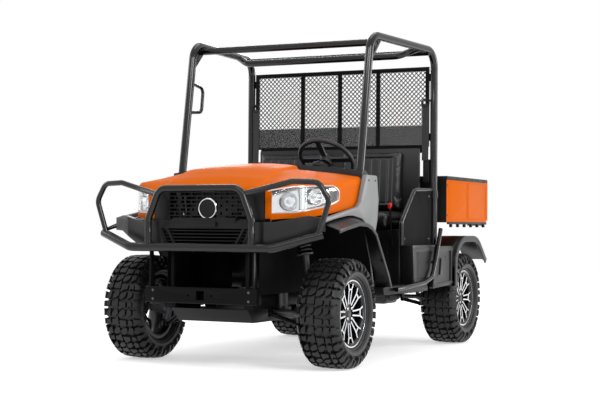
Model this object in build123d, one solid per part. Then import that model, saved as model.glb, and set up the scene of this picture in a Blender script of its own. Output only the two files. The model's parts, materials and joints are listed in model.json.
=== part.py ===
from build123d import *

import os
from math import cos, radians, sin

# Side by side utility vehicle: two seats, roll frame, steel cargo bed, brush guard.
#
# Millimetres. +Z is up and the ground is at Z 0, the front faces -Y, and +X is the vehicle's left.
# The origin lies on the ground in the middle of the vehicle's length and width.
# Each node is written to parts/NODE.step. Left and right pieces of one kind share a node.

# ---------------------------------------------------------------- driving sizes
OVERALL_LENGTH = 3055.0
ROOF_TOP_Z = 2020.0
WHEELBASE = 2045.0
FRONT_TRACK = 1290.0
REAR_TRACK = 1204.0
TYRE_RADIUS = 318.0          # to the lugs' tips
TYRE_WIDTH = 262.0
BEAD_RADIUS = 178.0
RIM_FLANGE_RADIUS = 196.0
FLANGE_WIDTH = 9.0
RIM_WALL = 8.0
RIM_BORE_RADIUS = 18.0
RIM_WIDTH = 190.0
RUNNING_GAP = 0.3            # radial clearance of pins, shafts and bores
PART_GAP = 6.0               # clearance between moving pieces
SEAT_GAP = 0.3               # how near a curved piece lies to what carries it

FRONT_Y = -OVERALL_LENGTH / 2
REAR_Y = OVERALL_LENGTH / 2
FRONT_AXLE_Y = -WHEELBASE / 2
REAR_AXLE_Y = WHEELBASE / 2
AXLE_Z = TYRE_RADIUS

# chassis
RAIL_X = (225.0, 285.0)      # inner and outer face of each main rail
RAIL_Z = (340.0, 420.0)
RAIL_Y = (FRONT_Y + 147.5, REAR_Y - 197.5)
DECK_Z = (700.0, 760.0)      # upper rear rails, under the bed
MOUNT_BEAM_Y = (395.0, 455.0)
MOUNT_BEAM_Z = (640.0, 700.0)
MOUNT_BEAM_HALF = 724.0
FLOOR_Z = (430.0, 445.0)
FLOOR_HALF = 660.0
SILL_TOP = 452.0
BASE_TOP_Z = 800.0
BASE_Y = (-60.0, 385.0)

# steering and suspension
BALL_JOINT = (505.0, 222.0)  # x, z of the lower joint of each front upright
STRUT_TOP = (405.0, 870.0)   # x, z of the strut's top
SPINDLE_RADIUS = RIM_BORE_RADIUS - RUNNING_GAP
REAR_HUB_X = REAR_TRACK / 2 - TYRE_WIDTH / 2 - 60   # inner face of each rear upright
REAR_HUB_TOP = 405.0
WHEEL_CENTRE = (275.0, -385.0, 1240.0)
COLUMN_ANGLE = 50.0          # above the horizontal
STEERING_WHEEL_RADIUS = 172.0

# bed
BED_HALF = 733.0
BED_Y = (560.0, 1412.0)
BED_Z = (851.0, 1164.0)
BED_WALL = 25.0
BED_FLOOR = 14.0
BED_PIVOT = (1235.0, 775.0)  # y, z
PIN_RADIUS = 10.0
TAILGATE_HINGE = (1430.0, 838.0)
TAILGATE_THICK = 28.0
CYLINDER_FOOT = (1000.0, 484.0)  # y, z
CYLINDER_EYE = (852.0, 806.0)

# body
HOOD_WALL = 8.0
SHELL_WALL = 8.0


# ---------------------------------------------------------------- helpers
def block(x, y, z):
    """A box from its (low, high) ranges."""
    return Pos((x[0] + x[1]) / 2, (y[0] + y[1]) / 2, (z[0] + z[1]) / 2) * Box(
        abs(x[1] - x[0]), abs(y[1] - y[0]), abs(z[1] - z[0])
    )


def outline(points, radius=0.0):
    """A flat face through the points, with its corners rounded."""
    face = make_face(Polyline(*points, close=True))
    return fillet(face.vertices(), radius) if radius else face


def side_plate(points, x, radius=0.0):
    """A plate whose (y, z) outline is seen from the side, between two x."""
    # a sketch on Plane.YZ has local x = Y and local y = Z
    return extrude(Plane.YZ.offset(x[0]) * outline(points, radius), x[1] - x[0])


def plan_plate(points, z, radius=0.0):
    """A plate whose (x, y) outline is seen from above, between two z."""
    return extrude(Plane.XY.offset(z[0]) * outline(points, radius), z[1] - z[0])


def front_plate(points, y, radius=0.0):
    """A plate whose (x, z) outline is seen from the front, between two y."""
    plane = Plane(origin=(0, y[0], 0), x_dir=(1, 0, 0), z_dir=(0, -1, 0))
    return extrude(plane * outline(points, radius), -(y[1] - y[0]))


def mirrored_points(points):
    """A right half outline, from the middle outwards, completed to the left."""
    return list(points) + [(-x, y) for x, y in reversed(points) if x > 0]


def other_side(shape):
    """The same piece on the vehicle's other side."""
    return mirror(shape, about=Plane.YZ)


def pair(shape):
    """A left piece with its right twin, as solids that don't touch."""
    return Compound(children=[*shape.solids(), *other_side(shape).solids()])


def tube(points, radius, bend):
    """A round bar of straight cylinders and round bends."""
    path = FilletPolyline(*points, radius=bend) if len(points) > 2 else Line(*points)
    bar = None
    for run in path.edges():
        start = Plane(origin=run @ 0, z_dir=run % 0)
        if run.geom_type == GeomType.LINE:
            piece = start * Cylinder(radius, run.length, align=(Align.CENTER, Align.CENTER, Align.MIN))
        else:
            outward = (run @ 0) - run.arc_center
            turn = outward.cross(run % 0).normalized()
            piece = revolve(start * Circle(radius), Axis(run.arc_center, turn), (run % 0).get_angle(run % 1))
        bar = piece if bar is None else bar + piece
    return bar


def rod(a, b, radius, top_radius=None):
    """A cylinder or cone from point a to point b."""
    axis = Vector(*b) - Vector(*a)
    start = Plane(origin=a, z_dir=axis)
    if top_radius is None:
        return start * Cylinder(radius, axis.length, align=(Align.CENTER, Align.CENTER, Align.MIN))
    return start * Cone(radius, top_radius, axis.length, align=(Align.CENTER, Align.CENTER, Align.MIN))


def write(name, shape):
    """Writes one node."""
    os.makedirs("parts", exist_ok=True)
    export_step(shape, f"parts/{name}.step")


# ---------------------------------------------------------------- chassis
def kingpin_x(z):
    """x of the steering axis at a height."""
    (x0, z0), (x1, z1) = BALL_JOINT, STRUT_TOP
    return x0 + (x1 - x0) * (z - z0) / (z1 - z0)


def chassis_frame():
    """Main rails, cross members, outriggers, upper rear rails, towers, hitch."""
    inner, outer = RAIL_X
    front, rear = RAIL_Y
    frame = block((inner, outer), RAIL_Y, RAIL_Z)
    frame += block((inner, outer), (MOUNT_BEAM_Y[0] + 30, BED_PIVOT[0] - 10), DECK_Z)
    for y in (MOUNT_BEAM_Y, (1150, 1210)):                    # uprights to the deck rails
        frame += block((inner, outer), y, (RAIL_Z[1], DECK_Z[0] if y[0] > 400 else MOUNT_BEAM_Z[0]))
    frame += block((inner, outer), (rear - 60, rear), (RAIL_Z[1], DECK_Z[0]))
    for y in ((-560, -500), (-40, 20)):                        # outriggers under the floor
        frame += block((outer, FLOOR_HALF - 20), y, (390, FLOOR_Z[0]))
    tower_y = (FRONT_AXLE_Y - 60, FRONT_AXLE_Y + 60)
    frame += block((outer, outer + 12), tower_y, (RAIL_Z[0], STRUT_TOP[1] + 12))
    frame += block((outer, STRUT_TOP[0] + 60), tower_y, (STRUT_TOP[1], STRUT_TOP[1] + 12))
    for y in (FRONT_AXLE_Y, REAR_AXLE_Y):                      # notches for the half shafts
        frame -= rod((inner - 5, y, AXLE_Z), (outer + 20, y, AXLE_Z), 34)
    frame += block((inner + 11, inner + 31), (front, front + 24), (RAIL_Z[1], 1010))   # grille support
    frame += block((outer, outer + 70), (REAR_AXLE_Y - 25, REAR_AXLE_Y + 25), (716, 744))
    ear = side_plate(
        [(BED_PIVOT[0] - 60, DECK_Z[1]), (BED_PIVOT[0] - 60, DECK_Z[0]), (BED_PIVOT[0] - 10, DECK_Z[0]),
         (BED_PIVOT[0] + 26, BED_PIVOT[1] - 10), (BED_PIVOT[0] + 26, BED_PIVOT[1] + 14),
         (BED_PIVOT[0] - 26, BED_PIVOT[1] + 20)], (inner + 24, outer))
    frame += ear
    frame += rod((inner + 24, *BED_PIVOT), (outer + 26, *BED_PIVOT), PIN_RADIUS)
    frame += other_side(frame)
    for y in ((front, front + 50), (-640, -590), (-40, 20), (452, 490), (860, 905), (rear - 50, rear)):
        frame += block((-inner, inner), y, (370, RAIL_Z[1]))
    frame += block((-inner, inner), (FRONT_AXLE_Y - 25, FRONT_AXLE_Y + 25), (396, RAIL_Z[1]))
    frame += block((-MOUNT_BEAM_HALF, MOUNT_BEAM_HALF), MOUNT_BEAM_Y, MOUNT_BEAM_Z)
    frame += block((-560, 560), (rear - 40, rear - 28), (620, DECK_Z[0]))       # lamp bar
    # the dump cylinder's foot: a raised cross member with a clevis
    y, z = CYLINDER_FOOT
    frame += block((-outer, outer), (y - 25, y + 25), (432, z - 26))
    for side in (-1, 1):
        frame += block(sorted((side * inner, side * outer)), (y - 25, y + 25), (RAIL_Z[1], 432))
        frame += block(sorted((side * 15, side * 23)), (y - 20, y + 20), (z - 26, z + 18))
    return frame + rod((-23, y, z), (23, y, z), PIN_RADIUS)


RECEIVER_OUTER = 31.5        # half of a 2.5 inch square tube
RECEIVER_INNER = 25.4        # half of its 2 inch opening
RECEIVER_Z = 391.0
RECEIVER_PIN_Y = REAR_Y - 55


def hitch_receiver():
    """Rear receiver tube on the last cross member, with its pin hole."""
    out, bore = RECEIVER_OUTER, RECEIVER_INNER
    receiver = block((-out, out), (RAIL_Y[1], REAR_Y), (RECEIVER_Z - out, RECEIVER_Z + out))
    receiver -= block((-bore, bore), (RAIL_Y[1] + 12, REAR_Y + 1), (RECEIVER_Z - bore, RECEIVER_Z + bore))
    return receiver - rod((-40, RECEIVER_PIN_Y, RECEIVER_Z), (40, RECEIVER_PIN_Y, RECEIVER_Z), 8)


def skid_plate():
    """Folded tray under the front of the chassis."""
    front = RAIL_Y[0]
    profile = [(front, RAIL_Z[0]), (front + 80, 262), (-600, 262), (-540, RAIL_Z[0])]
    inner_profile = [(front + 14, RAIL_Z[0]), (front + 84, 270), (-604, 270), (-554, RAIL_Z[0])]
    tray = side_plate(profile, (-250, 250)) - side_plate(inner_profile, (-242, 242))
    for y in (FRONT_AXLE_Y - 158, FRONT_AXLE_Y + 242):          # drain slots
        tray -= block((-60, 60), (y - 20, y + 20), (255, 275))
    for x in (-246, 246):                                        # the half shafts pass above the tray's lips
        tray -= rod((x - 10, FRONT_AXLE_Y, AXLE_Z), (x + 10, FRONT_AXLE_Y, AXLE_Z), 34)
    return tray


BEAM_Y = (FRONT_Y + 41.5, FRONT_Y + 99.5)
BEAM_Z = (374.0, 466.0)
BEAM_HALF = 363.0
BUMPER_Z = 692.0
BUMPER_RADIUS = 25.0


def front_beam():
    """Cross beam with receiver hole, uprights to the bumper tube and rail ends."""
    beam = block((-BEAM_HALF, BEAM_HALF), BEAM_Y, BEAM_Z)
    beam = fillet(beam.edges().filter_by(Axis.X), 6)
    beam -= block((-26, 26), (BEAM_Y[0] - 1, BEAM_Y[1] + 1), (394, 446))
    for x in (-76.2, 76.2):                                      # winch plate bolts
        beam -= rod((x, BEAM_Y[0] - 1, 420), (x, BEAM_Y[1] + 1, 420), 6)
    arm = block(RAIL_X, (BEAM_Y[1], RAIL_Y[0]), (380, 416))
    back = BEAM_Y[1]
    upright = side_plate(
        [(BEAM_Y[0] + 6, BEAM_Z[1]), (back - 4, BEAM_Z[1]), (back - 12, 560), (back - 22, BUMPER_Z - 4),
         (FRONT_Y + 2 * BUMPER_RADIUS + 0.5, BUMPER_Z - 4), (back - 50, 640)], (330, 342))
    return beam + arm + other_side(arm) + upright + other_side(upright)


def brush_guard():
    """Bumper tube, centre hoop and the two lamp loops, all round bar."""
    y = FRONT_Y + BUMPER_RADIUS
    bumper = tube([(-720, y + 118, 770), (-462, y, BUMPER_Z), (462, y, BUMPER_Z), (720, y + 118, 770)],
                  BUMPER_RADIUS, 110)
    hoop = tube([(-337, y, BUMPER_Z), (-337, y, 850), (-266, y, 1029), (266, y, 1029),
                 (337, y, 850), (337, y, BUMPER_Z)], 20, 70)
    loop = tube([(284, y, 996), (560, y + 62, 1066), (700, y + 98, 1062), (762, y + 109, 960), (694, y + 106, 764)],
                16, 60)
    return bumper + hoop + loop + other_side(loop)


# ---------------------------------------------------------------- wheels
LUG_PITCHES = 18
LUG_HEIGHT = 15.0
LUG_HALF = 27.0


def tread_outline(tip, root, phase):
    """(y, z) points of the tread's toothed outline, with lug 0 at the phase angle below the axle."""
    points = []
    for i in range(LUG_PITCHES):
        angle = radians(phase + 360 / LUG_PITCHES * i)
        for radial, along in ((root, -LUG_HALF - 4), (tip, -LUG_HALF), (tip, LUG_HALF), (root, LUG_HALF + 4)):
            points.append((radial * sin(angle) + along * cos(angle), along * sin(angle) - radial * cos(angle)))
    return points


def tyre(width):
    """Closed ring from the bead to the tread, with a staggered row of lugs on each half, about the X axis."""
    half, side = width / 2, width / 2 - 8
    bead = RIM_WIDTH / 2 - FLANGE_WIDTH - SEAT_GAP
    buried = TYRE_RADIUS - 74
    # (axial, radial) from the bead outwards
    half_profile = [(bead, BEAD_RADIUS + SEAT_GAP), (bead, RIM_FLANGE_RADIUS + 1), (side, RIM_FLANGE_RADIUS + 26),
                    (side, buried)]
    points = half_profile + [(-a, r) for a, r in reversed(half_profile)]
    ring = revolve(Plane(origin=(0, 0, 0), x_dir=(1, 0, 0), z_dir=(0, -1, 0)) * outline(points), Axis.X)
    tread, shoulder = TYRE_RADIUS - LUG_HEIGHT, half - 28
    bore = Rot(0, 90, 0) * Cylinder(buried - 4, width + 20)
    for side_sign, phase in ((1, 0), (-1, 180 / LUG_PITCHES)):
        crown = tread_outline(TYRE_RADIUS, tread, phase)
        edge = tread_outline(TYRE_RADIUS - 48, TYRE_RADIUS - 66, phase)
        crown_face = Plane.YZ * outline(crown)
        band_solid = extrude(crown_face, side_sign * shoulder)
        band_solid += loft([Plane.YZ.offset(side_sign * shoulder) * outline(crown),
                            Plane.YZ.offset(side_sign * half) * outline(edge)], ruled=True)
        ring += band_solid - bore
    return ring


SPOKES = 8


def rim(width):
    """Barrel with flanges, a dished face of spoke pairs on the +X side and a bored hub."""
    half, shoulder = width / 2, width / 2 - FLANGE_WIDTH
    inside = BEAD_RADIUS - RIM_WALL
    barrel = [(-half, RIM_FLANGE_RADIUS), (-half, inside), (half, inside), (half, RIM_FLANGE_RADIUS),
              (shoulder, RIM_FLANGE_RADIUS), (shoulder, BEAD_RADIUS), (-shoulder, BEAD_RADIUS),
              (-shoulder, RIM_FLANGE_RADIUS)]
    plane = Plane(origin=(0, 0, 0), x_dir=(1, 0, 0), z_dir=(0, -1, 0))
    wheel = revolve(plane * outline(barrel), Axis.X)
    hub_profile = [(18, RIM_BORE_RADIUS), (66, RIM_BORE_RADIUS), (66, 0), (76, 0), (76, 34), (62, 58), (18, 58)]
    wheel += revolve(plane * outline(hub_profile), Axis.X)
    for i in range(SPOKES):
        for lean in (-8.5, 8.5):                                  # each pair is a narrow V
            spoke = plan_plate([(40, 42), (70, 48), (half - 8, inside + 4), (half - 30, inside + 4)], (-7, 7))
            wheel += Rot(360.0 / SPOKES * i + lean, 0, 0) * spoke
    return wheel


def wheel_at(x, y, shape):
    """A wheel piece at its place; right wheels face the other way."""
    placed = shape if x > 0 else other_side(shape)
    return Pos(x, y, AXLE_Z) * placed


# ---------------------------------------------------------------- suspension and steering
def knuckle():
    """Left front upright with spindle, steering arm and the strut's lower tube."""
    foot = (kingpin_x(246), FRONT_AXLE_Y, 246)
    body = rod(foot, (kingpin_x(430), FRONT_AXLE_Y, 430), 24)
    body += rod((486, FRONT_AXLE_Y, AXLE_Z), (FRONT_TRACK / 2 - 62, FRONT_AXLE_Y, AXLE_Z), 46, 34)
    body += rod((FRONT_TRACK / 2 - 70, FRONT_AXLE_Y, AXLE_Z), (FRONT_TRACK / 2 + 62, FRONT_AXLE_Y, AXLE_Z), SPINDLE_RADIUS)
    body += rod((kingpin_x(214), FRONT_AXLE_Y, 214), foot, 9)
    body += rod((kingpin_x(425), FRONT_AXLE_Y, 425), (kingpin_x(660), FRONT_AXLE_Y, 660), 20)
    body += rod((kingpin_x(652), FRONT_AXLE_Y, 652), (kingpin_x(660), FRONT_AXLE_Y, 660), 50)
    body += block((472, 496), (FRONT_AXLE_Y, FRONT_AXLE_Y + 118), (300, 318))
    body -= rod((kingpin_x(560), FRONT_AXLE_Y, 560), (kingpin_x(700), FRONT_AXLE_Y, 700), 9 + RUNNING_GAP)
    return body


def struts():
    """Front strut rods with springs, and rear coil-over shocks."""
    low, top = 672.0, STRUT_TOP[1]
    rod_start = (kingpin_x(590), FRONT_AXLE_Y, 590)
    rod_end = (kingpin_x(top), FRONT_AXLE_Y, top)
    front = rod(rod_start, rod_end, 9)
    front += rod((kingpin_x(low), FRONT_AXLE_Y, low), (kingpin_x(850), FRONT_AXLE_Y, 850), 34)
    for i in range(4):
        z = low + 12 + i * 44
        front += rod((kingpin_x(z), FRONT_AXLE_Y, z), (kingpin_x(z + 16), FRONT_AXLE_Y, z + 16), 48)
    front -= block((300, 500), (FRONT_AXLE_Y - 100, FRONT_AXLE_Y + 100), (top, top + 60))
    low_end, top_end = (REAR_HUB_X + 17, REAR_AXLE_Y, REAR_HUB_TOP), (322.0, REAR_AXLE_Y, 716.0)
    axis = Vector(*top_end) - Vector(*low_end)
    at = lambda t: tuple(Vector(*low_end) + axis * t)
    rear = rod(low_end, at(1.0), 14)
    rear += rod(at(0.32), at(0.9), 28)
    for i in range(3):
        rear += rod(at(0.38 + 0.17 * i), at(0.44 + 0.17 * i), 42)
    rear -= block((250, 400), (REAR_AXLE_Y - 80, REAR_AXLE_Y + 80), (716, 800))
    rear -= block((REAR_HUB_X - 20, REAR_HUB_X + 50), (REAR_AXLE_Y - 80, REAR_AXLE_Y + 80),
                  (REAR_HUB_TOP - 60, REAR_HUB_TOP + SEAT_GAP))
    return pair(Compound(children=[*front.solids(), *rear.solids()]))


def rear_hub():
    """Rear upright with its spindle."""
    inner = REAR_HUB_X
    hub = block((inner, inner + 34), (REAR_AXLE_Y - 40, REAR_AXLE_Y + 40), (250, REAR_HUB_TOP))
    hub += rod((inner + 30, REAR_AXLE_Y, AXLE_Z), (REAR_TRACK / 2 - 62, REAR_AXLE_Y, AXLE_Z), 46, 34)
    hub += rod((inner + 34, REAR_AXLE_Y, AXLE_Z), (REAR_TRACK / 2 + 62, REAR_AXLE_Y, AXLE_Z), SPINDLE_RADIUS)
    return hub


def suspension_arms():
    """Lower arms: an A of two tubes from the rail to the outer joint."""
    outer = RAIL_X[1] + SEAT_GAP
    x, z = BALL_JOINT
    front = Pos(x, FRONT_AXLE_Y, z - 4) * Cylinder(26, 30)
    for dy in (-150, 150):
        front += rod((outer + 14, FRONT_AXLE_Y + dy, 306), (x - 8, FRONT_AXLE_Y, z - 2), 13)
        front += rod((outer + 14, FRONT_AXLE_Y + dy - 22, 306), (outer + 14, FRONT_AXLE_Y + dy + 22, 306), 14)
        front += block((outer, outer + 14), (FRONT_AXLE_Y + dy - 20, FRONT_AXLE_Y + dy + 20), (306, 350))
    front -= rod((kingpin_x(200), FRONT_AXLE_Y, 200), (kingpin_x(260), FRONT_AXLE_Y, 260), 9 + RUNNING_GAP)
    rear = block((REAR_HUB_X - 40, REAR_HUB_X), (REAR_AXLE_Y - 36, REAR_AXLE_Y + 36), (256, 280))
    for dy in (-150, 150):
        rear += rod((outer + 14, REAR_AXLE_Y + dy, 306), (REAR_HUB_X - 20, REAR_AXLE_Y + dy / 8, 268), 13)
        rear += rod((outer + 14, REAR_AXLE_Y + dy - 22, 306), (outer + 14, REAR_AXLE_Y + dy + 22, 306), 14)
        rear += block((outer, outer + 14), (REAR_AXLE_Y + dy - 20, REAR_AXLE_Y + dy + 20), (306, 350))
    return pair(Compound(children=[*front.solids(), *rear.solids()]))


def front_drive():
    """Front differential with half shafts and boots."""
    case = Pos(0, FRONT_AXLE_Y, AXLE_Z) * Rot(0, 90, 0) * Cylinder(46, 170)
    case += block((-40, 40), (FRONT_AXLE_Y - 20, FRONT_AXLE_Y + 20), (AXLE_Z, 396))
    shaft = rod((80, FRONT_AXLE_Y, AXLE_Z), (420, FRONT_AXLE_Y, AXLE_Z), 13)
    shaft += rod((90, FRONT_AXLE_Y, AXLE_Z), (150, FRONT_AXLE_Y, AXLE_Z), 40, 24)
    shaft += rod((370, FRONT_AXLE_Y, AXLE_Z), (436, FRONT_AXLE_Y, AXLE_Z), 22, 38)
    return case + shaft + other_side(shaft)


def rear_drive():
    """Rear transaxle with half shafts and boots."""
    case = block((-150, 150), (REAR_AXLE_Y - 117.5, REAR_AXLE_Y + 117.5), (262, 430))
    case = fillet(case.edges(), 22)
    shaft = rod((140, REAR_AXLE_Y, AXLE_Z), (REAR_HUB_X, REAR_AXLE_Y, AXLE_Z), 15)
    shaft += rod((150, REAR_AXLE_Y, AXLE_Z), (205, REAR_AXLE_Y, AXLE_Z), 42, 24)
    shaft += rod((REAR_HUB_X - 60, REAR_AXLE_Y, AXLE_Z), (REAR_HUB_X, REAR_AXLE_Y, AXLE_Z), 22, 38)
    return case + shaft + other_side(shaft)


def engine_block():
    """The engine's mass under the front of the bed."""
    block_body = fillet(block((-200, 200), (456, 850), (420, 690)).edges().filter_by(Axis.Z), 30)
    return block_body


def muffler():
    """Silencer across the rear with its hanger and tail pipe."""
    rear = RAIL_Y[1]
    can = rod((-180, rear - 105, 520), (180, rear - 105, 520), 60)
    can += rod((150, rear - 105, 520), (206, rear - 105, 520), 18)
    return (can + block((-20, 20), (rear - 130, rear - 40), (445, 475))
            + block((-20, 20), (rear - 60, rear - 40), (RAIL_Z[1], 475)))


def column_point(distance):
    """A point on the steering column's axis, from the wheel's centre."""
    x, y, z = WHEEL_CENTRE
    return (x, y + distance * cos(radians(COLUMN_ANGLE)), z + distance * sin(radians(COLUMN_ANGLE)))


def steering_column():
    """Column tube from the dash to just under the wheel, bored for the shaft."""
    column = rod(column_point(-330), column_point(-42), 26)
    return column - rod(column_point(-90), column_point(0), 10 + RUNNING_GAP)


def steering_wheel():
    """Rim, three spokes, hub and shaft about the column's axis."""
    plane = Plane(origin=WHEEL_CENTRE, x_dir=(1, 0, 0),
                  z_dir=(0, cos(radians(COLUMN_ANGLE)), sin(radians(COLUMN_ANGLE))))
    wheel = plane * Torus(STEERING_WHEEL_RADIUS, 14)
    wheel += rod(column_point(-36), column_point(4), 36, 44)
    wheel += rod(column_point(-84), column_point(-30), 10)
    for angle in (0, 180, 270):
        spoke = Rot(0, 0, angle) * Pos(STEERING_WHEEL_RADIUS / 2 + 8, 0, -6) * Box(STEERING_WHEEL_RADIUS - 30, 34, 12)
        wheel += plane * spoke
    return wheel


# ---------------------------------------------------------------- body panels
HOOD_REAR_Y = -704.0
HOOD_LOW = 820.0
HOOD_ROLL = 45.0             # how far the side rolls over into the skirt
HOOD_BULGE = 5.0
# y, height in the middle, dome's half width and edge height, step down beside it, half width, side height
HOOD_STATIONS = [
    (-1392, 1030, 306, 1026, 4, 400, 1020),
    (-1265, 1108, 304, 1094, 10, 560, 1074),
    (-1080, 1172, 296, 1154, 16, 640, 1072),
    (-800, 1200, 262, 1182, 24, 662, 1108),
    (HOOD_REAR_Y, 1203, 200, 1190, 30, 662, 1118),
]
# (y, z) of the lower edge, from the rear
HOOD_SKIRT = [(HOOD_REAR_Y + 60, 946), (-794, 937), (-1151, 884), (-1235, 870), (-1373, 856), (-1430, 856)]
HOOD_HINGE = (-690.0, 1178.0)    # y, z
HINGE_X = (126.0, 166.0)
# (y, z) of each lamp seen from the side
LAMP_OUTLINE = [(-1402, 886), (-1402, 1014), (-1312, 1045), (-1066, 1056), (-1010, 1024), (-1014, 965), (-1126, 930),
                (-1230, 909), (-1309, 891)]


def hood_section(y, centre, dome_x, dome_z, step, side_x, side_z, inset):
    """The hood's outline across the vehicle: raised dome, step, falling side, rolled shoulder and skirt."""
    a = (dome_x, dome_z - inset)
    b = (dome_x + 22, dome_z - step - inset)
    c = (side_x - HOOD_ROLL, side_z - inset)
    d = (side_x - inset, side_z - HOOD_ROLL)
    e = (side_x - inset, HOOD_LOW - inset)
    side_middle = ((b[0] + c[0]) / 2, (b[1] + c[1]) / 2 + HOOD_BULGE)
    roll_middle = (c[0] + (d[0] - c[0]) * 0.7071, d[1] + (c[1] - d[1]) * 0.7071)
    flip = lambda p: (-p[0], p[1])
    lines = [ThreePointArc(flip(a), (0, centre - inset), a), Line(a, b), ThreePointArc(b, side_middle, c),
             ThreePointArc(c, roll_middle, d), Line(d, e), Line(e, flip(e)), Line(flip(e), flip(d)),
             ThreePointArc(flip(d), flip(roll_middle), flip(c)), ThreePointArc(flip(c), flip(side_middle), flip(b)),
             Line(flip(b), flip(a))]
    plane = Plane(origin=(0, y, 0), x_dir=(1, 0, 0), z_dir=(0, -1, 0))
    return plane * make_face(lines)


def hood_form(inset):
    """The hood's solid form, drawn in by the wall's thickness on every side but below and behind."""
    stations = [list(station) for station in HOOD_STATIONS]
    stations[0][0] += inset
    if inset:
        stations.append([HOOD_REAR_Y + 40] + stations[-1][1:])
    form = loft([hood_section(*station, inset) for station in stations], ruled=True)
    skirt = [(y, z - (20 if inset else 0)) for y, z in HOOD_SKIRT]
    return form & side_plate([(-1430, 1260), (HOOD_REAR_Y + 60, 1260)] + skirt, (-720, 720))


GRILLE_HALF = 262.0
PILLAR_HALF = 360.0


def hood():
    """One thin shell: raised dome, lamp corners and side skirts, open at the grille and behind."""
    shell = hood_form(0) - hood_form(HOOD_WALL)
    half = PILLAR_HALF + PART_GAP
    shell -= block((-half, half), (-1450, -1340), (800, 1024))
    lamp = side_plate(LAMP_OUTLINE, (402, 720))
    y, z = HOOD_HINGE
    low, high = HINGE_X
    barrel = rod((low, y, z), (high, y, z), 9) + block((low + 4, high - 4), (y - 34, y), (z - 8, z + 8))
    barrel += block((low + 4, high - 4), (y - 34, y - 14), (z - 8, z + 15))
    barrel -= rod((low - 10, y, z), (high + 10, y, z), 5 + RUNNING_GAP)
    return shell - lamp - other_side(lamp) + barrel + other_side(barrel)


def headlamps():
    """Lamp bodies that fill the hood's corner openings."""
    seat = HOOD_WALL + SEAT_GAP
    opening = Plane.YZ.offset(405) * make_face(Polyline(*LAMP_OUTLINE, close=True))
    lens = extrude(offset(opening, -2.5, kind=Kind.INTERSECTION), 300)
    opening = Plane.YZ.offset(388) * make_face(Polyline(*LAMP_OUTLINE, close=True))
    case = extrude(offset(opening, 10, kind=Kind.INTERSECTION), 320)
    lamp = lens & (hood_form(2) - hood_form(seat + 2))
    lamp += case & (hood_form(seat) - hood_form(seat + 20))
    return pair(lamp)


# (x, y) of the front fascia seen from above, from the middle outwards
FASCIA_PLAN = [(0, -1440), (380, -1436), (560, -1372), (676, -1306), (692, -1298), (692, -1294)]
FASCIA_LOW, FASCIA_TOP, WING_TOP = 690.0, 840.0, 876.0
UPPER_BAR_HALF = 300.0
# (x, z) of the lower grille's opening
LOWER_GRILLE = [(-300, 802), (300, 802), (262, 702), (-262, 702)]


def front_fascia():
    """Bumper cover: a thin wall round the front, with wings that rise before the wheels and a narrow ledge on top."""
    wall = SHELL_WALL

    def above(drop):
        return front_plate([(-433, FASCIA_TOP - drop), (433, FASCIA_TOP - drop), (610, WING_TOP - drop), (690, WING_TOP - 14 - drop),
                            (760, WING_TOP - 30 - drop), (760, 960), (-760, 960), (-760, WING_TOP - 30 - drop),
                            (-690, WING_TOP - 14 - drop), (-610, WING_TOP - drop)], (-1460, -1150))

    outer = plan_plate(mirrored_points(FASCIA_PLAN), (FASCIA_LOW, WING_TOP))
    outer = fillet(outer.edges().filter_by(Axis.Z).sort_by(Axis.Y)[:6], 20) - above(0)
    inner = [(max(x - wall, 0) if x else 0, y + wall) for x, y in FASCIA_PLAN]
    inner[-1] = (inner[-1][0], FASCIA_PLAN[-1][1] + 40)
    shell = outer - (plan_plate(mirrored_points(inner), (FASCIA_LOW - 10, WING_TOP)) - above(wall))
    # the middle of the ledge is open below the hood
    shell -= plan_plate([(-605, -1100), (-605, -1300), (-500, -1360), (500, -1360), (605, -1300), (605, -1100)],
                        (FASCIA_TOP - 20, WING_TOP + 5))
    shell -= front_plate(LOWER_GRILLE, (-1500, -1350))
    shell -= block((-UPPER_BAR_HALF, UPPER_BAR_HALF), (-1500, -1350), (800, 900))
    # the lower edge rises with the bumper tube, clear of the tyres
    rise = front_plate([(440, 640), (440, 690), (555, 750), (620, 784), (760, 792), (760, 640)], (-1460, -1150))
    return shell - rise - other_side(rise)


def grille():
    """Dark front between the lamps: pillars, staggered slots, the bar below them and the lower grille."""
    upper_y, lower_y = (-1404, -1380), (-1440, -1416)
    piece = block((-GRILLE_HALF, GRILLE_HALF), upper_y, (846, 1018))
    for row in range(7):                                            # staggered slots
        z = 856 + row * 22.5
        shift = 36 if row % 2 else 0
        for i in range(7):
            low = max(-GRILLE_HALF + 10, -252 - shift + i * 74)
            high = min(GRILLE_HALF - 10, -252 - shift + i * 74 + 66)
            if high - low > 12:
                piece -= block((low, high), (-1450, -1300), (z, z + 15))
    pillar = plan_plate([(GRILLE_HALF - 1, -1410), (318, -1408), (PILLAR_HALF, -1394), (PILLAR_HALF, -1380),
                         (GRILLE_HALF - 1, -1380)], (846, 1018))
    piece += pillar + other_side(pillar)
    piece += block((-UPPER_BAR_HALF + SEAT_GAP, UPPER_BAR_HALF - SEAT_GAP), (-1440, -1380), (802, 846))
    piece += block((-205, 205), (-1450, -1396), (838, 862)) + block((-82, 82), (-1460, -1438), (810, 848))
    frame = [(x - (SEAT_GAP if x > 0 else -SEAT_GAP), z + (SEAT_GAP if z < 750 else 0)) for x, z in LOWER_GRILLE]
    window = [(x - (16 if x > 0 else -16), z + (10 if z < 750 else -2)) for x, z in LOWER_GRILLE]
    piece += front_plate(frame, lower_y) - front_plate(window, (-1450, -1400))
    for z in (731, 750, 769, 788):
        half = 262 + (z - 702) * 0.38 - 14
        piece += block((-half, half), (-1430, -1420), (z - 3, z + 3))
    brace = front_plate([(190, 706), (206, 706), (262, 806), (246, 806)], (-1438, -1418))
    return piece + brace + other_side(brace)


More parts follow.
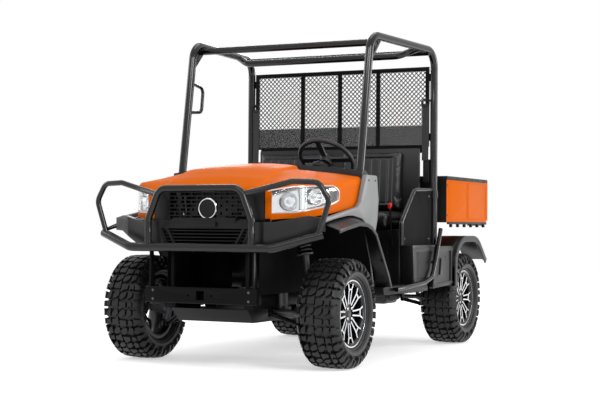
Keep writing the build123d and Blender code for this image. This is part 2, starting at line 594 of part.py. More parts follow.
# (y, z) of the front wheel arch: under the side cowl, then at the outer lip
ARCH_INNER = [(-1290, 838), (-1169, 858), (-1000, 878), (-914, 880), (-783, 864), (-690, 816), (-560, 560), (-520, 452)]
ARCH_OUTER = [(-1290, 800), (-1190, 818), (-1010, 842), (-900, 838), (-820, 818), (-752, 776), (-560, 530), (-516, 452)]
ARCH_X = (668.0, 772.0)
COWL_X = (668.0, 696.0)
LIP_DEPTH = 22.0


def band(points, wall):
    """A closed outline of even thickness below an open line of points."""
    under = []
    for i, (y, z) in enumerate(points):
        (y0, z0), (y1, z1) = points[max(i - 1, 0)], points[min(i + 1, len(points) - 1)]
        length = ((y1 - y0) ** 2 + (z1 - z0) ** 2) ** 0.5
        under.append((y + wall * (z1 - z0) / length, z - wall * (y1 - y0) / length))
    under[-1] = (points[-1][0] - wall, points[-1][1])              # the last end is cut level
    return list(points) + under[::-1]


def front_fenders():
    """Sloping arches from under the side cowl to a turned-down lip, open below."""
    top = loft([Plane.YZ.offset(ARCH_X[0]) * outline(band(ARCH_INNER, SHELL_WALL)),
                Plane.YZ.offset(ARCH_X[1]) * outline(band(ARCH_OUTER, SHELL_WALL))], ruled=True)
    lip = side_plate(band(ARCH_OUTER, LIP_DEPTH), (ARCH_X[1], ARCH_X[1] + 8))
    return pair(top + lip)


def cowl_sides():
    """Side cowls between the hood, the fender and the door opening, with a spear forward along the fender."""
    spear = [(y, z + SEAT_GAP) for y, z in ARCH_INNER[:6]]
    panel = [(-1290, 856), (-1268, 866), (-845, 934), (-806, 962), (-728, 1120), (-714, 1127), (-572, 1126), (-561, 1118),
             (-535, 979), (-552, 858), (-604, 730), (-650, 752)] + spear[::-1]
    return pair(side_plate(panel, COWL_X))


DASH_HALF = 570.0
COWL_HALF = 655.0


def dashboard():
    """Crowned cowl top and dash face, hollow below, with a glove tray and a bore for the column."""
    profile = [(-652, 1096), (-652, 1202), (-560, 1190), (-430, 1158), (-340, 1096), (-330, 1040), (-380, 960),
               (-400, 830), (-430, 800), (-652, 800)]
    hollow = [(-640, 790), (-640, 1180), (-560, 1174), (-436, 1144), (-354, 1088), (-344, 1046), (-392, 966),
              (-412, 838), (-436, 790)]
    half = DASH_HALF
    dash = side_plate(profile, (-half, half)) - side_plate(hollow, (-half + 14, half - 14))
    # the cowl strip that shows behind the hood's sides, ahead of the roll frame
    strip = block((half - 70, COWL_HALF), (-697, -683), (1080, 1210)) + block((half - 70, half), (-697, -640), (1080, 1210))
    dash += strip + other_side(strip)
    crown = Plane(origin=(0, -710, 0), x_dir=(1, 0, 0), z_dir=(0, -1, 0)) * make_face(
        Polyline((-700, 1142), (-700, 700), (700, 700), (700, 1142))
        + ThreePointArc((-700, 1142), (0, 1200), (700, 1142)))
    dash = dash & extrude(crown, -410)
    dash -= block((-470, -120), (-420, -300), (1000, 1070))
    y, z = HOOD_HINGE
    low, high = HINGE_X
    hinge = rod((low - 12, y, z), (high + 12, y, z), 5)
    for x in ((low - 12, low - 6), (high + 6, high + 12)):
        hinge += block(x, (y - 8, -645), (z - 24, z + 8))
    dash += hinge + other_side(hinge)
    bracket = block((half, ARCH_X[0]), (-645, -612), (860, 885))       # carries the side cowl
    dash += bracket + other_side(bracket)
    return dash - rod(column_point(-400), column_point(0), 26 + SEAT_GAP)


def floor_pan():
    """Floor, sloping toe board and firewall, folded from one sheet."""
    points = [(BASE_Y[0], FLOOR_Z[0]), (BASE_Y[0], FLOOR_Z[1]), (-480, FLOOR_Z[1]), (-586, 640), (-636, 800),
              (-652, 800), (-652, 790), (-602, 632), (-490, FLOOR_Z[0])]
    pan = side_plate(points, (-560, 560))
    pan += block((-FLOOR_HALF, FLOOR_HALF), (-480, BASE_Y[0]), FLOOR_Z)
    for i in range(5):                                              # tread ribs
        y = -420 + i * 75
        pan += block((-520, 520), (y, y + 14), (FLOOR_Z[1], FLOOR_Z[1] + 4))
    return pan


def seat_base():
    """Box under the seats, open below, with toe-space front."""
    half = 655.0
    box = block((-half, half), BASE_Y, (FLOOR_Z[1], BASE_TOP_Z))
    box = fillet(box.edges().filter_by(Axis.Z).sort_by(Axis.Y)[:2], 24)
    box -= block((-half + 16, half - 16), (BASE_Y[0] + 16, BASE_Y[1] - 16), (FLOOR_Z[0], BASE_TOP_Z - 16))
    for x0 in (-560, 60):                                           # storage lids' recesses
        box -= block((x0, x0 + 500), (BASE_Y[0] - 1, BASE_Y[0] + 6), (520, 740))
    return box


def seat_cushions():
    """Two cushions on the base."""
    parts = []
    for x0, x1 in ((32, 585), (-585, -32)):
        cushion = block((x0, x1), (-118, 300), (BASE_TOP_Z + SEAT_GAP, 912))
        parts.append(fillet(cushion.edges(), 28))
    return Compound(children=parts)


def seat_backs():
    """Two reclined backs in front of the bulkhead."""
    parts = []
    for x0, x1 in ((44, 505), (-585, -32)):
        parts.append(side_plate([(302, 920), (388 - SEAT_GAP, 920), (388 - SEAT_GAP, 1334), (345, 1334)], (x0, x1), 14))
    return Compound(children=parts)


def rear_bulkhead():
    """Ribbed panel behind the seats, standing on the mount beam."""
    panel = block((-600, 600), (395, 411), (MOUNT_BEAM_Z[1], 1345))
    panel += block((-600, 600), (388, 395), (BASE_TOP_Z, 1345))
    for x in (-450, -150, 150, 450):
        panel += block((x - 12, x + 12), (411, 421), (720, 1330))
    return panel


def side_panels():
    """Lower panels under the hip guards and ahead of the rear wheels with pressed pockets, and the bent step bar."""
    front = side_plate([(-62, SILL_TOP), (-84, 700), (318, 700), (262, 540), (176, SILL_TOP)], (660, 742))
    front -= side_plate([(0, 480), (-8, 660), (268, 660), (224, 540), (160, 480)], (732, 745), 8)
    bar = tube([(764, 366, 806), (768, 268, 610), (768, 196, 492), (768, 60, 459), (768, -420, 433)], 14, 50)
    front += bar + rod((734, 255, 588), (768, 255, 588), 10) + block((738 + SEAT_GAP, 768), (-400, -380), (425, 443))
    edge = REAR_AXLE_Y - 378.5
    rear = side_plate([(262, 414), (330, 690), (edge, 690), (edge - 4, 430)], (MOUNT_BEAM_HALF, 750), 12)
    rear -= side_plate([(306, 440), (360, 660), (edge - 32, 660), (edge - 34, 456)], (740, 760), 8)
    relief = side_plate([(400, 500), (420, 610), (500, 610), (490, 500)], (738, 750), 6)
    rear += relief - side_plate([(436, 500), (452, 580), (520, 580), (510, 490)], (737, 760))
    return pair(Compound(children=[*front.solids(), *rear.solids()]))


def sills():
    """Step bars along the door openings."""
    bar = side_plate([(-545, 404), (-562, SILL_TOP), (176, SILL_TOP), (200, 430), (196, 404)], (FLOOR_HALF, 738), 6)
    for i in range(6):
        bar -= block((672, 728), (-440 + 100 * i, -380 + 100 * i), (SILL_TOP - 4, SILL_TOP + 8))
    return pair(bar)


def hip_guards():
    """Bent tube beside each seat with a filled panel."""
    x = 686.0
    frame = tube([(x, -140, 700.5), (x, -140, 850), (x, 80, 1058), (x, 392, 1066)], 14, 60)
    panel = side_plate([(-138, 700), (-138, 848), (80, 1054), (386, 1062), (386, 700)], (x - 5, x + 5))
    return pair(frame + panel)


HOOP_FRONT_X = 620.0
HOOP_REAR_X = 690.0
HOOP_RADIUS = 25.0


def roll_frame():
    """Two side hoops, three cross tubes, corner gussets, post sleeves and the grab handle."""
    top = ROOF_TOP_Z - HOOP_RADIUS
    hoop = tube([(600, -440, FLOOR_Z[1]), (612, -560, 780), (HOOP_FRONT_X, -650, 1150), (HOOP_FRONT_X + 4, -506, top),
                 (HOOP_REAR_X, 425, top), (HOOP_REAR_X, 425, MOUNT_BEAM_Z[1])], HOOP_RADIUS, 115)
    gusset = side_plate([(-536, 1800), (-330, top), (-420, top), (-500, 1960)], (622, 630))
    frame = hoop + gusset + rod((HOOP_REAR_X, 425, 1010), (HOOP_REAR_X, 425, 1058), HOOP_RADIUS + 5)
    frame += block((HOOP_REAR_X - 27, HOOP_REAR_X + 27), (402, 448), (MOUNT_BEAM_Z[1], MOUNT_BEAM_Z[1] + 50))
    frame += other_side(frame)
    frame += tube([(-630, -400, top - 35), (630, -400, top - 35)], 22, 1)
    frame += tube([(-672, 190, top - 5), (-560, 110, top - 62), (560, 110, top - 62), (672, 190, top - 5)], 22, 90)
    frame += tube([(-690, 330, top - 20), (690, 330, top - 20)], 20, 1)
    frame -= block((-800, 800), (-700, -300), (FLOOR_Z[0] - 60, FLOOR_Z[1]))
    frame += tube([(-621, -585, 1546), (-616, -420, 1560), (-616, -400, 1716), (-621, -548, 1742)], 11, 36)
    return frame


SCREEN_HALF = 655.0
SCREEN_Z = (1357.0, 1892.0)
SCREEN_Y = (418.0, 434.0)


def rear_screen():
    """Screen frame with three bars and its mesh panels, hung between the rear posts."""
    frame = block((-SCREEN_HALF, SCREEN_HALF), SCREEN_Y, SCREEN_Z)
    frame -= block((-SCREEN_HALF + 24, SCREEN_HALF - 24), (SCREEN_Y[0] - 1, SCREEN_Y[1] + 1),
                   (SCREEN_Z[0] + 12, SCREEN_Z[1] - 28))
    for x in (-285, 0, 285):
        frame += block((x - 14, x + 14), (SCREEN_Y[0] + 2, SCREEN_Y[1] - 2), (SCREEN_Z[0] + 5, SCREEN_Z[1] - 5))
    frame += block((-SCREEN_HALF + 20, SCREEN_HALF - 20), (SCREEN_Y[0] + 6, SCREEN_Y[0] + 9), (SCREEN_Z[0] + 5, 1500))
    for z in (1420, 1820):
        tab = block((SCREEN_HALF, HOOP_REAR_X - HOOP_RADIUS - SEAT_GAP), (420, 430), (z - 25, z + 25))
        frame += tab + other_side(tab)
    return frame


def belt_retractors():
    """Seat belt retractor cases on the rear posts."""
    case = block((620, HOOP_REAR_X - HOOP_RADIUS - SEAT_GAP), (404, 446), (1112, 1272))
    return pair(fillet(case.edges().filter_by(Axis.Y), 14))


# (y, z) of the rear wheel arch
REAR_ARCH = [(REAR_AXLE_Y + y, z) for y, z in ((-370, 415), (-370, 640), (-222, 757), (108, 757), (306, 588))]


def arch_band(points, x, wall, radius):
    """A bent strip of even thickness that follows (y, z) points, between two x."""
    line = FilletPolyline(*[(y, z, 0) for y, z in points], radius=radius)
    start = Plane(origin=line @ 0, z_dir=line % 0, x_dir=(0, 0, 1))
    strip = sweep(start * Rectangle(x[1] - x[0], wall), path=line)
    placed = Plane.YZ.offset((x[0] + x[1]) / 2) * strip
    return placed


def rear_fender_pair():
    """Rear arches with a bracket to the deck rails."""
    arch = arch_band(REAR_ARCH, (590, 766), SHELL_WALL, 120)
    arch += block((RAIL_X[1], 594), (1090, 1120), (735, 750))
    return pair(arch)


def tail_lamps():
    """Lamps on the rear bar."""
    rear = RAIL_Y[1]
    lamp = block((430, 550), (rear - 28, rear - 4), (630, 690))
    return pair(fillet(lamp.edges().filter_by(Axis.Y), 10))


# ---------------------------------------------------------------- bed
def cargo_bed():
    """Floor, front wall and side walls with rails and hooks, on two runners with pivot lugs."""
    bed = block((-BED_HALF, BED_HALF), BED_Y, (BED_Z[0], BED_Z[0] + BED_FLOOR))
    for side in (-1, 1):
        bed += block(sorted((side * (BED_HALF - BED_WALL), side * BED_HALF)), BED_Y, (BED_Z[0], BED_Z[1]))
        bed += block(sorted((side * (BED_HALF - 34), side * (BED_HALF + 5))), BED_Y, (BED_Z[1] - 24, BED_Z[1]))
        bed += block(sorted((side * (BED_HALF - 8), side * (BED_HALF + 5))), (BED_Y[0] + 30, BED_Y[1] - 12),
                     (BED_Z[0] - 14, BED_Z[0] + 4))
        for i in range(6):                                             # hooks along the lower rail
            y = BED_Y[0] + 70 + i * 138
            bed += block(sorted((side * (BED_HALF - 6), side * (BED_HALF + 11))), (y, y + 22), (BED_Z[0] - 34, BED_Z[0] - 10))
        bed += block(sorted((side * 312, side * 360)), (BED_Y[0] + 20, BED_Y[1] - 30), (806, BED_Z[0]))
    bed += block((-BED_HALF, BED_HALF), (BED_Y[0], BED_Y[0] + BED_WALL), (BED_Z[0], BED_Z[1]))
    for x in (-560, -340, -120, 120, 340, 560):                        # pressed floor ribs
        bed += block((x - 16, x + 16), (BED_Y[0] + 30, BED_Y[1] - 6), (BED_Z[0] + BED_FLOOR, BED_Z[0] + BED_FLOOR + 5))
    y, z = BED_PIVOT
    lug = side_plate([(y - 26, 810), (y - 26, z), (y - 16, z - 22), (y + 16, z - 22), (y + 26, z), (y + 26, 810)],
                     (RAIL_X[1] + PART_GAP, RAIL_X[1] + PART_GAP + 12))
    lug += block((RAIL_X[1] + PART_GAP, 316), (y - 26, y + 26), (806, 820))
    lug -= rod((RAIL_X[1], y, z), (330, y, z), PIN_RADIUS + RUNNING_GAP)
    bed += lug + other_side(lug)
    hinge = rod((BED_HALF - 130, *TAILGATE_HINGE), (BED_HALF - 60, *TAILGATE_HINGE), 9)
    hinge += block((BED_HALF - 130, BED_HALF - 60), (BED_Y[1] - 40, TAILGATE_HINGE[0] + 4), (TAILGATE_HINGE[1] - 6, BED_Z[0]))
    hinge -= rod((BED_HALF - 140, *TAILGATE_HINGE), (BED_HALF - 50, *TAILGATE_HINGE), 5 + RUNNING_GAP)
    bed += hinge + other_side(hinge)
    y = CYLINDER_EYE[0]
    for x in ((-19, -13), (13, 19)):
        bed += block(x, (y - 32, y + 32), (CYLINDER_EYE[1] - 18, BED_Z[0]))
    return bed


def tailgate():
    """Ribbed gate on two hinge pins."""
    y0 = BED_Y[1] + PART_GAP
    gate = block((-BED_HALF + 2, BED_HALF - 2), (y0, y0 + TAILGATE_THICK), (BED_Z[0] + 16, BED_Z[1] - 4))
    for x in (-480, -160, 160, 480):
        gate -= block((x - 120, x + 120), (y0 + TAILGATE_THICK - 8, y0 + TAILGATE_THICK + 1), (BED_Z[0] + 60, BED_Z[1] - 50))
    for side in (-1, 1):
        gate += rod((side * (BED_HALF - 148), *TAILGATE_HINGE), (side * (BED_HALF - 42), *TAILGATE_HINGE), 5)
        for x in (BED_HALF - 150, BED_HALF - 54):
            gate += block(sorted((side * x, side * (x + 14))), (TAILGATE_HINGE[0] - 9, TAILGATE_HINGE[0] + 9),
                          (TAILGATE_HINGE[1] - 9, BED_Z[0] + 30))
    return gate


# ---------------------------------------------------------------- dump cylinder
def along_cylinder(distance):
    """A point on the cylinder's axis, from its foot."""
    foot, eye = Vector(0, *CYLINDER_FOOT), Vector(0, *CYLINDER_EYE)
    return tuple(foot + (eye - foot).normalized() * distance)


CYLINDER_LENGTH = (Vector(0, *CYLINDER_EYE) - Vector(0, *CYLINDER_FOOT)).length


def dump_barrel():
    """Barrel on its foot eye, bored for the rod."""
    barrel = rod(along_cylinder(30), along_cylinder(CYLINDER_LENGTH - 42), 24)
    barrel += rod(along_cylinder(8), along_cylinder(32), 8.5)
    barrel += rod((-9, *CYLINDER_FOOT), (9, *CYLINDER_FOOT), 19)
    barrel -= rod(along_cylinder(44), along_cylinder(CYLINDER_LENGTH), 11 + RUNNING_GAP)
    return barrel - rod((-30, *CYLINDER_FOOT), (30, *CYLINDER_FOOT), PIN_RADIUS + RUNNING_GAP)


def dump_rod():
    """Rod with its eye."""
    piece = rod(along_cylinder(50), along_cylinder(CYLINDER_LENGTH - 6), 11)
    return piece + rod((-7, *CYLINDER_EYE), (7, *CYLINDER_EYE), 17)


# ---------------------------------------------------------------- all nodes
def build():
    write("chassis_frame", chassis_frame())
    write("hitch_receiver", hitch_receiver())
    write("skid_plate", skid_plate())
    write("front_beam", front_beam())
    write("brush_guard", brush_guard())
    write("front_fascia", front_fascia())
    write("grille", grille())
    write("cowl_sides", cowl_sides())
    write("dashboard", dashboard())
    write("floor_pan", floor_pan())
    write("front_fenders", front_fenders())
    write("seat_base", seat_base())
    write("seat_cushions", seat_cushions())
    write("seat_backs", seat_backs())
    write("rear_bulkhead", rear_bulkhead())
    write("side_panels", side_panels())
    write("sills", sills())
    write("hip_guards", hip_guards())
    write("roll_frame", roll_frame())
    write("rear_screen", rear_screen())
    write("belt_retractors", belt_retractors())
    write("engine_block", engine_block())
    write("front_drive", front_drive())
    write("rear_drive", rear_drive())
    write("suspension_arms", suspension_arms())
    write("struts", struts())
    write("rear_hubs", pair(rear_hub()))
    write("steering_column", steering_column())
    write("rear_fenders", rear_fender_pair())
    write("muffler", muffler())
    write("tail_lamps", tail_lamps())
    write("steering_wheel", steering_wheel())
    write("knuckle_left", knuckle())
    write("knuckle_right", other_side(knuckle()))
    tread, wheel = tyre(TYRE_WIDTH), rim(RIM_WIDTH)
    # corner name, x, y
    for corner, x, y in (("front_left", FRONT_TRACK / 2, FRONT_AXLE_Y), ("front_right", -FRONT_TRACK / 2, FRONT_AXLE_Y),
                         ("rear_left", REAR_TRACK / 2, REAR_AXLE_Y), ("rear_right", -REAR_TRACK / 2, REAR_AXLE_Y)):
        write(f"tyre_{corner}", wheel_at(x, y, tread))
        write(f"rim_{corner}", wheel_at(x, y, wheel))
    write("hood", hood())
    write("headlamps", headlamps())
    write("cargo_bed", cargo_bed())
    write("tailgate", tailgate())
    write("dump_barrel", dump_barrel())
    write("dump_rod", dump_rod())


build()
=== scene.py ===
"""Dresses the side by side utility vehicle: smooth finishes over its frame, and modelled tyres, rims, seats and trim.

Metres, in the frame's own axes: the front faces -Y, the vehicle's left is +X, and the ground is at Z 0.
"""

from __future__ import annotations

import json
import logging
import math
from dataclasses import dataclass, field
from enum import Enum
from typing import Callable

import bpy
from mathutils import Matrix, Vector


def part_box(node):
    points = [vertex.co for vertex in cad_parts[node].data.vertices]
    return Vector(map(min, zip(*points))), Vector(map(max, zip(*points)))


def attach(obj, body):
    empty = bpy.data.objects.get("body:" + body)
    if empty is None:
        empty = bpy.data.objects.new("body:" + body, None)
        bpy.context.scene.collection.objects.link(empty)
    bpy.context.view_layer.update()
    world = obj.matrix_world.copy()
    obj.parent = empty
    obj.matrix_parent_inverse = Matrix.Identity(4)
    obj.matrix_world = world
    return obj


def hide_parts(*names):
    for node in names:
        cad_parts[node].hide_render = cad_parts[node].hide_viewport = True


LOG = logging.getLogger("scene")
Point = tuple[float, float, float]
Colour = tuple[float, float, float]


# ---------------------------------------------------------------- finishes
class Grain(Enum):
    """The relief that a finish carries."""

    NONE = "none"
    PEEL = "orange peel"
    PEBBLE = "moulded pebble"
    LEATHER = "vinyl grain"
    CAST = "cast skin"


@dataclass(frozen=True)
class Finish:
    """One surface finish, made into a material on first use."""

    name: str
    colour: Colour
    roughness: float
    metallic: float = 0.0
    coat: float = 0.0
    grain: Grain = Grain.NONE
    grain_size: float = 0.002
    relief: float = 0.0003
    mottle: float = 0.10
    dust: float = 0.0
    specular: float = 0.5
    clear: float = 0.0

    def material(self) -> bpy.types.Material:
        """Returns the finish's material, building its nodes the first time.

        Returns:
            The material of this finish.
        """
        found = bpy.data.materials.get(f"finish_{self.name}")
        if found:
            return found
        made = bpy.data.materials.new(f"finish_{self.name}")
        made.use_nodes = True
        tree = made.node_tree
        shader = tree.nodes["Principled BSDF"]
        shader.inputs["Metallic"].default_value = self.metallic
        shader.inputs["Coat Weight"].default_value = self.coat
        shader.inputs["Coat Roughness"].default_value = 0.05
        shader.inputs["Specular IOR Level"].default_value = self.specular
        shader.inputs["Transmission Weight"].default_value = self.clear
        place = tree.nodes.new("ShaderNodeTexCoord")
        self._vary(tree, shader, place)
        if self.grain is not Grain.NONE:
            self._relieve(tree, shader, place)
        return made

    def _vary(self, tree: bpy.types.NodeTree, shader: bpy.types.Node, place: bpy.types.Node) -> None:
        """Gives the colour and the gloss a soft, uneven run over the surface.

        Args:
            tree: The material's node tree.
            shader: Its principled shader.
            place: Its texture coordinates.
        """
        cloud = tree.nodes.new("ShaderNodeTexNoise")
        cloud.inputs["Scale"].default_value = 7.0
        cloud.inputs["Detail"].default_value = 6.0
        tree.links.new(place.outputs["Object"], cloud.inputs["Vector"])
        tone = tree.nodes.new("ShaderNodeMix")
        tone.data_type = "RGBA"
        low = [c * (1 - self.mottle) for c in self.colour]
        high = [min(1.0, c * (1 + self.mottle) + self.dust) for c in self.colour]
        tone.inputs["A"].default_value = (*low, 1)
        tone.inputs["B"].default_value = (*high, 1)
        tree.links.new(cloud.outputs["Fac"], tone.inputs["Factor"])
        tree.links.new(tone.outputs["Result"], shader.inputs["Base Color"])
        gloss = tree.nodes.new("ShaderNodeMapRange")
        gloss.inputs["To Min"].default_value = max(0.02, self.roughness * 0.85)
        gloss.inputs["To Max"].default_value = min(1.0, self.roughness * 1.15)
        tree.links.new(cloud.outputs["Fac"], gloss.inputs["Value"])
        tree.links.new(gloss.outputs["Result"], shader.inputs["Roughness"])

    def _relieve(self, tree: bpy.types.NodeTree, shader: bpy.types.Node, place: bpy.types.Node) -> None:
        """Adds the grain's bump.

        Args:
            tree: The material's node tree.
            shader: Its principled shader.
            place: Its texture coordinates.
        """
        cells = self.grain in (Grain.PEBBLE, Grain.LEATHER)
        pattern = tree.nodes.new("ShaderNodeTexVoronoi" if cells else "ShaderNodeTexNoise")
        pattern.inputs["Scale"].default_value = 1.0 / self.grain_size
        tree.links.new(place.outputs["Object"], pattern.inputs["Vector"])
        bump = tree.nodes.new("ShaderNodeBump")
        bump.inputs["Strength"].default_value = 0.6
        bump.inputs["Distance"].default_value = self.relief
        tree.links.new(pattern.outputs["Distance" if cells else "Fac"], bump.inputs["Height"])
        tree.links.new(bump.outputs["Normal"], shader.inputs["Normal"])


ORANGE = Finish("orange_paint", (0.63, 0.116, 0.0006), 0.38, grain=Grain.PEEL, grain_size=0.006,
                relief=0.00004, mottle=0.03, specular=0.03)
GLOSS_BLACK = Finish("gloss_black_tube", (0.003, 0.003, 0.0033), 0.16, grain=Grain.PEEL, grain_size=0.003,
                     relief=0.00002, specular=0.42)
FRAME_BLACK = Finish("frame_black", (0.004, 0.004, 0.0043), 0.30, grain=Grain.CAST, grain_size=0.004, relief=0.0001,
                     specular=0.08)
CHARCOAL = Finish("charcoal_plastic", (0.006, 0.006, 0.0065), 0.34, grain=Grain.PEBBLE, grain_size=0.0016,
                  relief=0.00008, specular=0.35)
BLACK_PLASTIC = Finish("black_plastic", (0.004, 0.004, 0.0043), 0.40, grain=Grain.PEBBLE, grain_size=0.0015,
                       relief=0.0001, specular=0.22)
LINER = Finish("liner_black", (0.003, 0.003, 0.003), 0.8, grain=Grain.PEBBLE, grain_size=0.002, relief=0.0001,
               specular=0.1)
SILVER_PLASTIC = Finish("silver_plastic", (0.20, 0.202, 0.205), 0.36, grain=Grain.PEBBLE,
                        grain_size=0.0022, relief=0.00010, mottle=0.06, specular=0.3)
VINYL = Finish("seat_vinyl", (0.007, 0.007, 0.0070), 0.32, grain=Grain.LEATHER, grain_size=0.0022, relief=0.00022)
RUBBER = Finish("tyre_rubber", (0.0075, 0.0075, 0.008), 0.40, grain=Grain.CAST, grain_size=0.003, relief=0.0003,
                mottle=0.25, dust=0.003, specular=0.32)
RIM_BLACK = Finish("rim_black", (0.004, 0.004, 0.0045), 0.25, coat=0.2, specular=0.3)
BOLT = Finish("dark_bolt", (0.10, 0.10, 0.10), 0.35, metallic=0.9, mottle=0.10)
LAMP_DARK = Finish("lamp_recess", (0.10, 0.10, 0.105), 0.22, metallic=0.8, mottle=0.05)
MACHINED = Finish("machined_alloy", (0.72, 0.73, 0.75), 0.22, metallic=1.0, mottle=0.04)
CAST = Finish("cast_metal", (0.07, 0.07, 0.075), 0.50, metallic=0.8, grain=Grain.CAST, grain_size=0.003,
              relief=0.0004)
STEEL = Finish("bare_steel", (0.35, 0.34, 0.33), 0.35, metallic=1.0, mottle=0.15)
CHROME = Finish("chrome", (0.80, 0.80, 0.82), 0.08, metallic=1.0, mottle=0.02)
LAMP_CHROME = Finish("lamp_reflector", (0.86, 0.87, 0.88), 0.12, metallic=0.9, mottle=0.02)
LAMP_TRIM = Finish("lamp_trim", (0.66, 0.50, 0.47), 0.22, metallic=0.5, mottle=0.04)
LENS = Finish("clear_lens", (0.97, 0.98, 0.99), 0.03, mottle=0.0, clear=1.0)
LENS_WHITE = Finish("frosted_white", (0.85, 0.86, 0.87), 0.25, mottle=0.02)
RED_LENS = Finish("red_lens", (0.35, 0.010, 0.008), 0.12, coat=0.5)
RED_KNOB = Finish("red_knob", (0.50, 0.006, 0.006), 0.34, mottle=0.04, specular=0.25)
SPRING = Finish("spring_black", (0.008, 0.008, 0.009), 0.30, coat=0.3)
WEBBING = Finish("belt_webbing", (0.012, 0.012, 0.013), 0.60, grain=Grain.LEATHER, grain_size=0.0012, relief=0.0003)
GRIP = Finish("soft_grip", (0.010, 0.010, 0.010), 0.48, grain=Grain.LEATHER, grain_size=0.0014, relief=0.0002)

# node, finish, bevel in metres (0 leaves edges as they are)
NODE_DRESS: dict[str, tuple[Finish, float]] = {
    "chassis_frame": (FRAME_BLACK, 0.003), "hitch_receiver": (FRAME_BLACK, 0.002),
    "skid_plate": (BLACK_PLASTIC, 0.002),
    "front_beam": (FRAME_BLACK, 0.003), "brush_guard": (GLOSS_BLACK, 0.0), "front_fascia": (CHARCOAL, 0.011),
    "grille": (BLACK_PLASTIC, 0.0015), "cowl_sides": (SILVER_PLASTIC, 0.004), "dashboard": (CHARCOAL, 0.006),
    "floor_pan": (CHARCOAL, 0.002), "front_fenders": (CHARCOAL, 0.003), "seat_base": (CHARCOAL, 0.005),
    "seat_cushions": (VINYL, 0.0), "seat_backs": (VINYL, 0.0), "rear_bulkhead": (CHARCOAL, 0.003),
    "side_panels": (CHARCOAL, 0.004), "sills": (BLACK_PLASTIC, 0.003), "hip_guards": (GLOSS_BLACK, 0.0),
    "roll_frame": (GLOSS_BLACK, 0.0), "rear_screen": (FRAME_BLACK, 0.001), "belt_retractors": (BLACK_PLASTIC, 0.004),
    "engine_block": (CAST, 0.004), "front_drive": (CAST, 0.002), "rear_drive": (CAST, 0.002),
    "suspension_arms": (FRAME_BLACK, 0.0), "struts": (FRAME_BLACK, 0.0), "rear_hubs": (CAST, 0.002),
    "steering_column": (FRAME_BLACK, 0.0), "rear_fenders": (CHARCOAL, 0.002), "muffler": (STEEL, 0.002),
    "tail_lamps": (RED_LENS, 0.002), "steering_wheel": (GRIP, 0.002), "knuckle_left": (CAST, 0.0),
    "knuckle_right": (CAST, 0.0), "hood": (ORANGE, 0.004), "headlamps": (CHROME, 0.003), "cargo_bed": (ORANGE, 0.003),
    "tailgate": (ORANGE, 0.003), "dump_barrel": (FRAME_BLACK, 0.0), "dump_rod": (CHROME, 0.0),
}


# node, then its second finishes with a test of a face's middle and normal
SECOND_FINISH: dict[str, tuple[tuple[Finish, Callable[[Vector, Vector], bool]], ...]] = {
    "cargo_bed": ((BLACK_PLASTIC, lambda c, n: c.z > 1.1395 and abs(c.x) > 0.690 or c.z < 0.8509 and abs(c.x) > 0.700
                   or c.y < 0.5865 or c.z < 0.850),),
    "side_panels": ((GLOSS_BLACK, lambda c, n: abs(c.x) > 0.7522),),
    "hip_guards": ((LINER, lambda c, n: abs(n.x) > 0.995),),
    "grille": ((LINER, lambda c, n: c.y > -1.3805),),
}


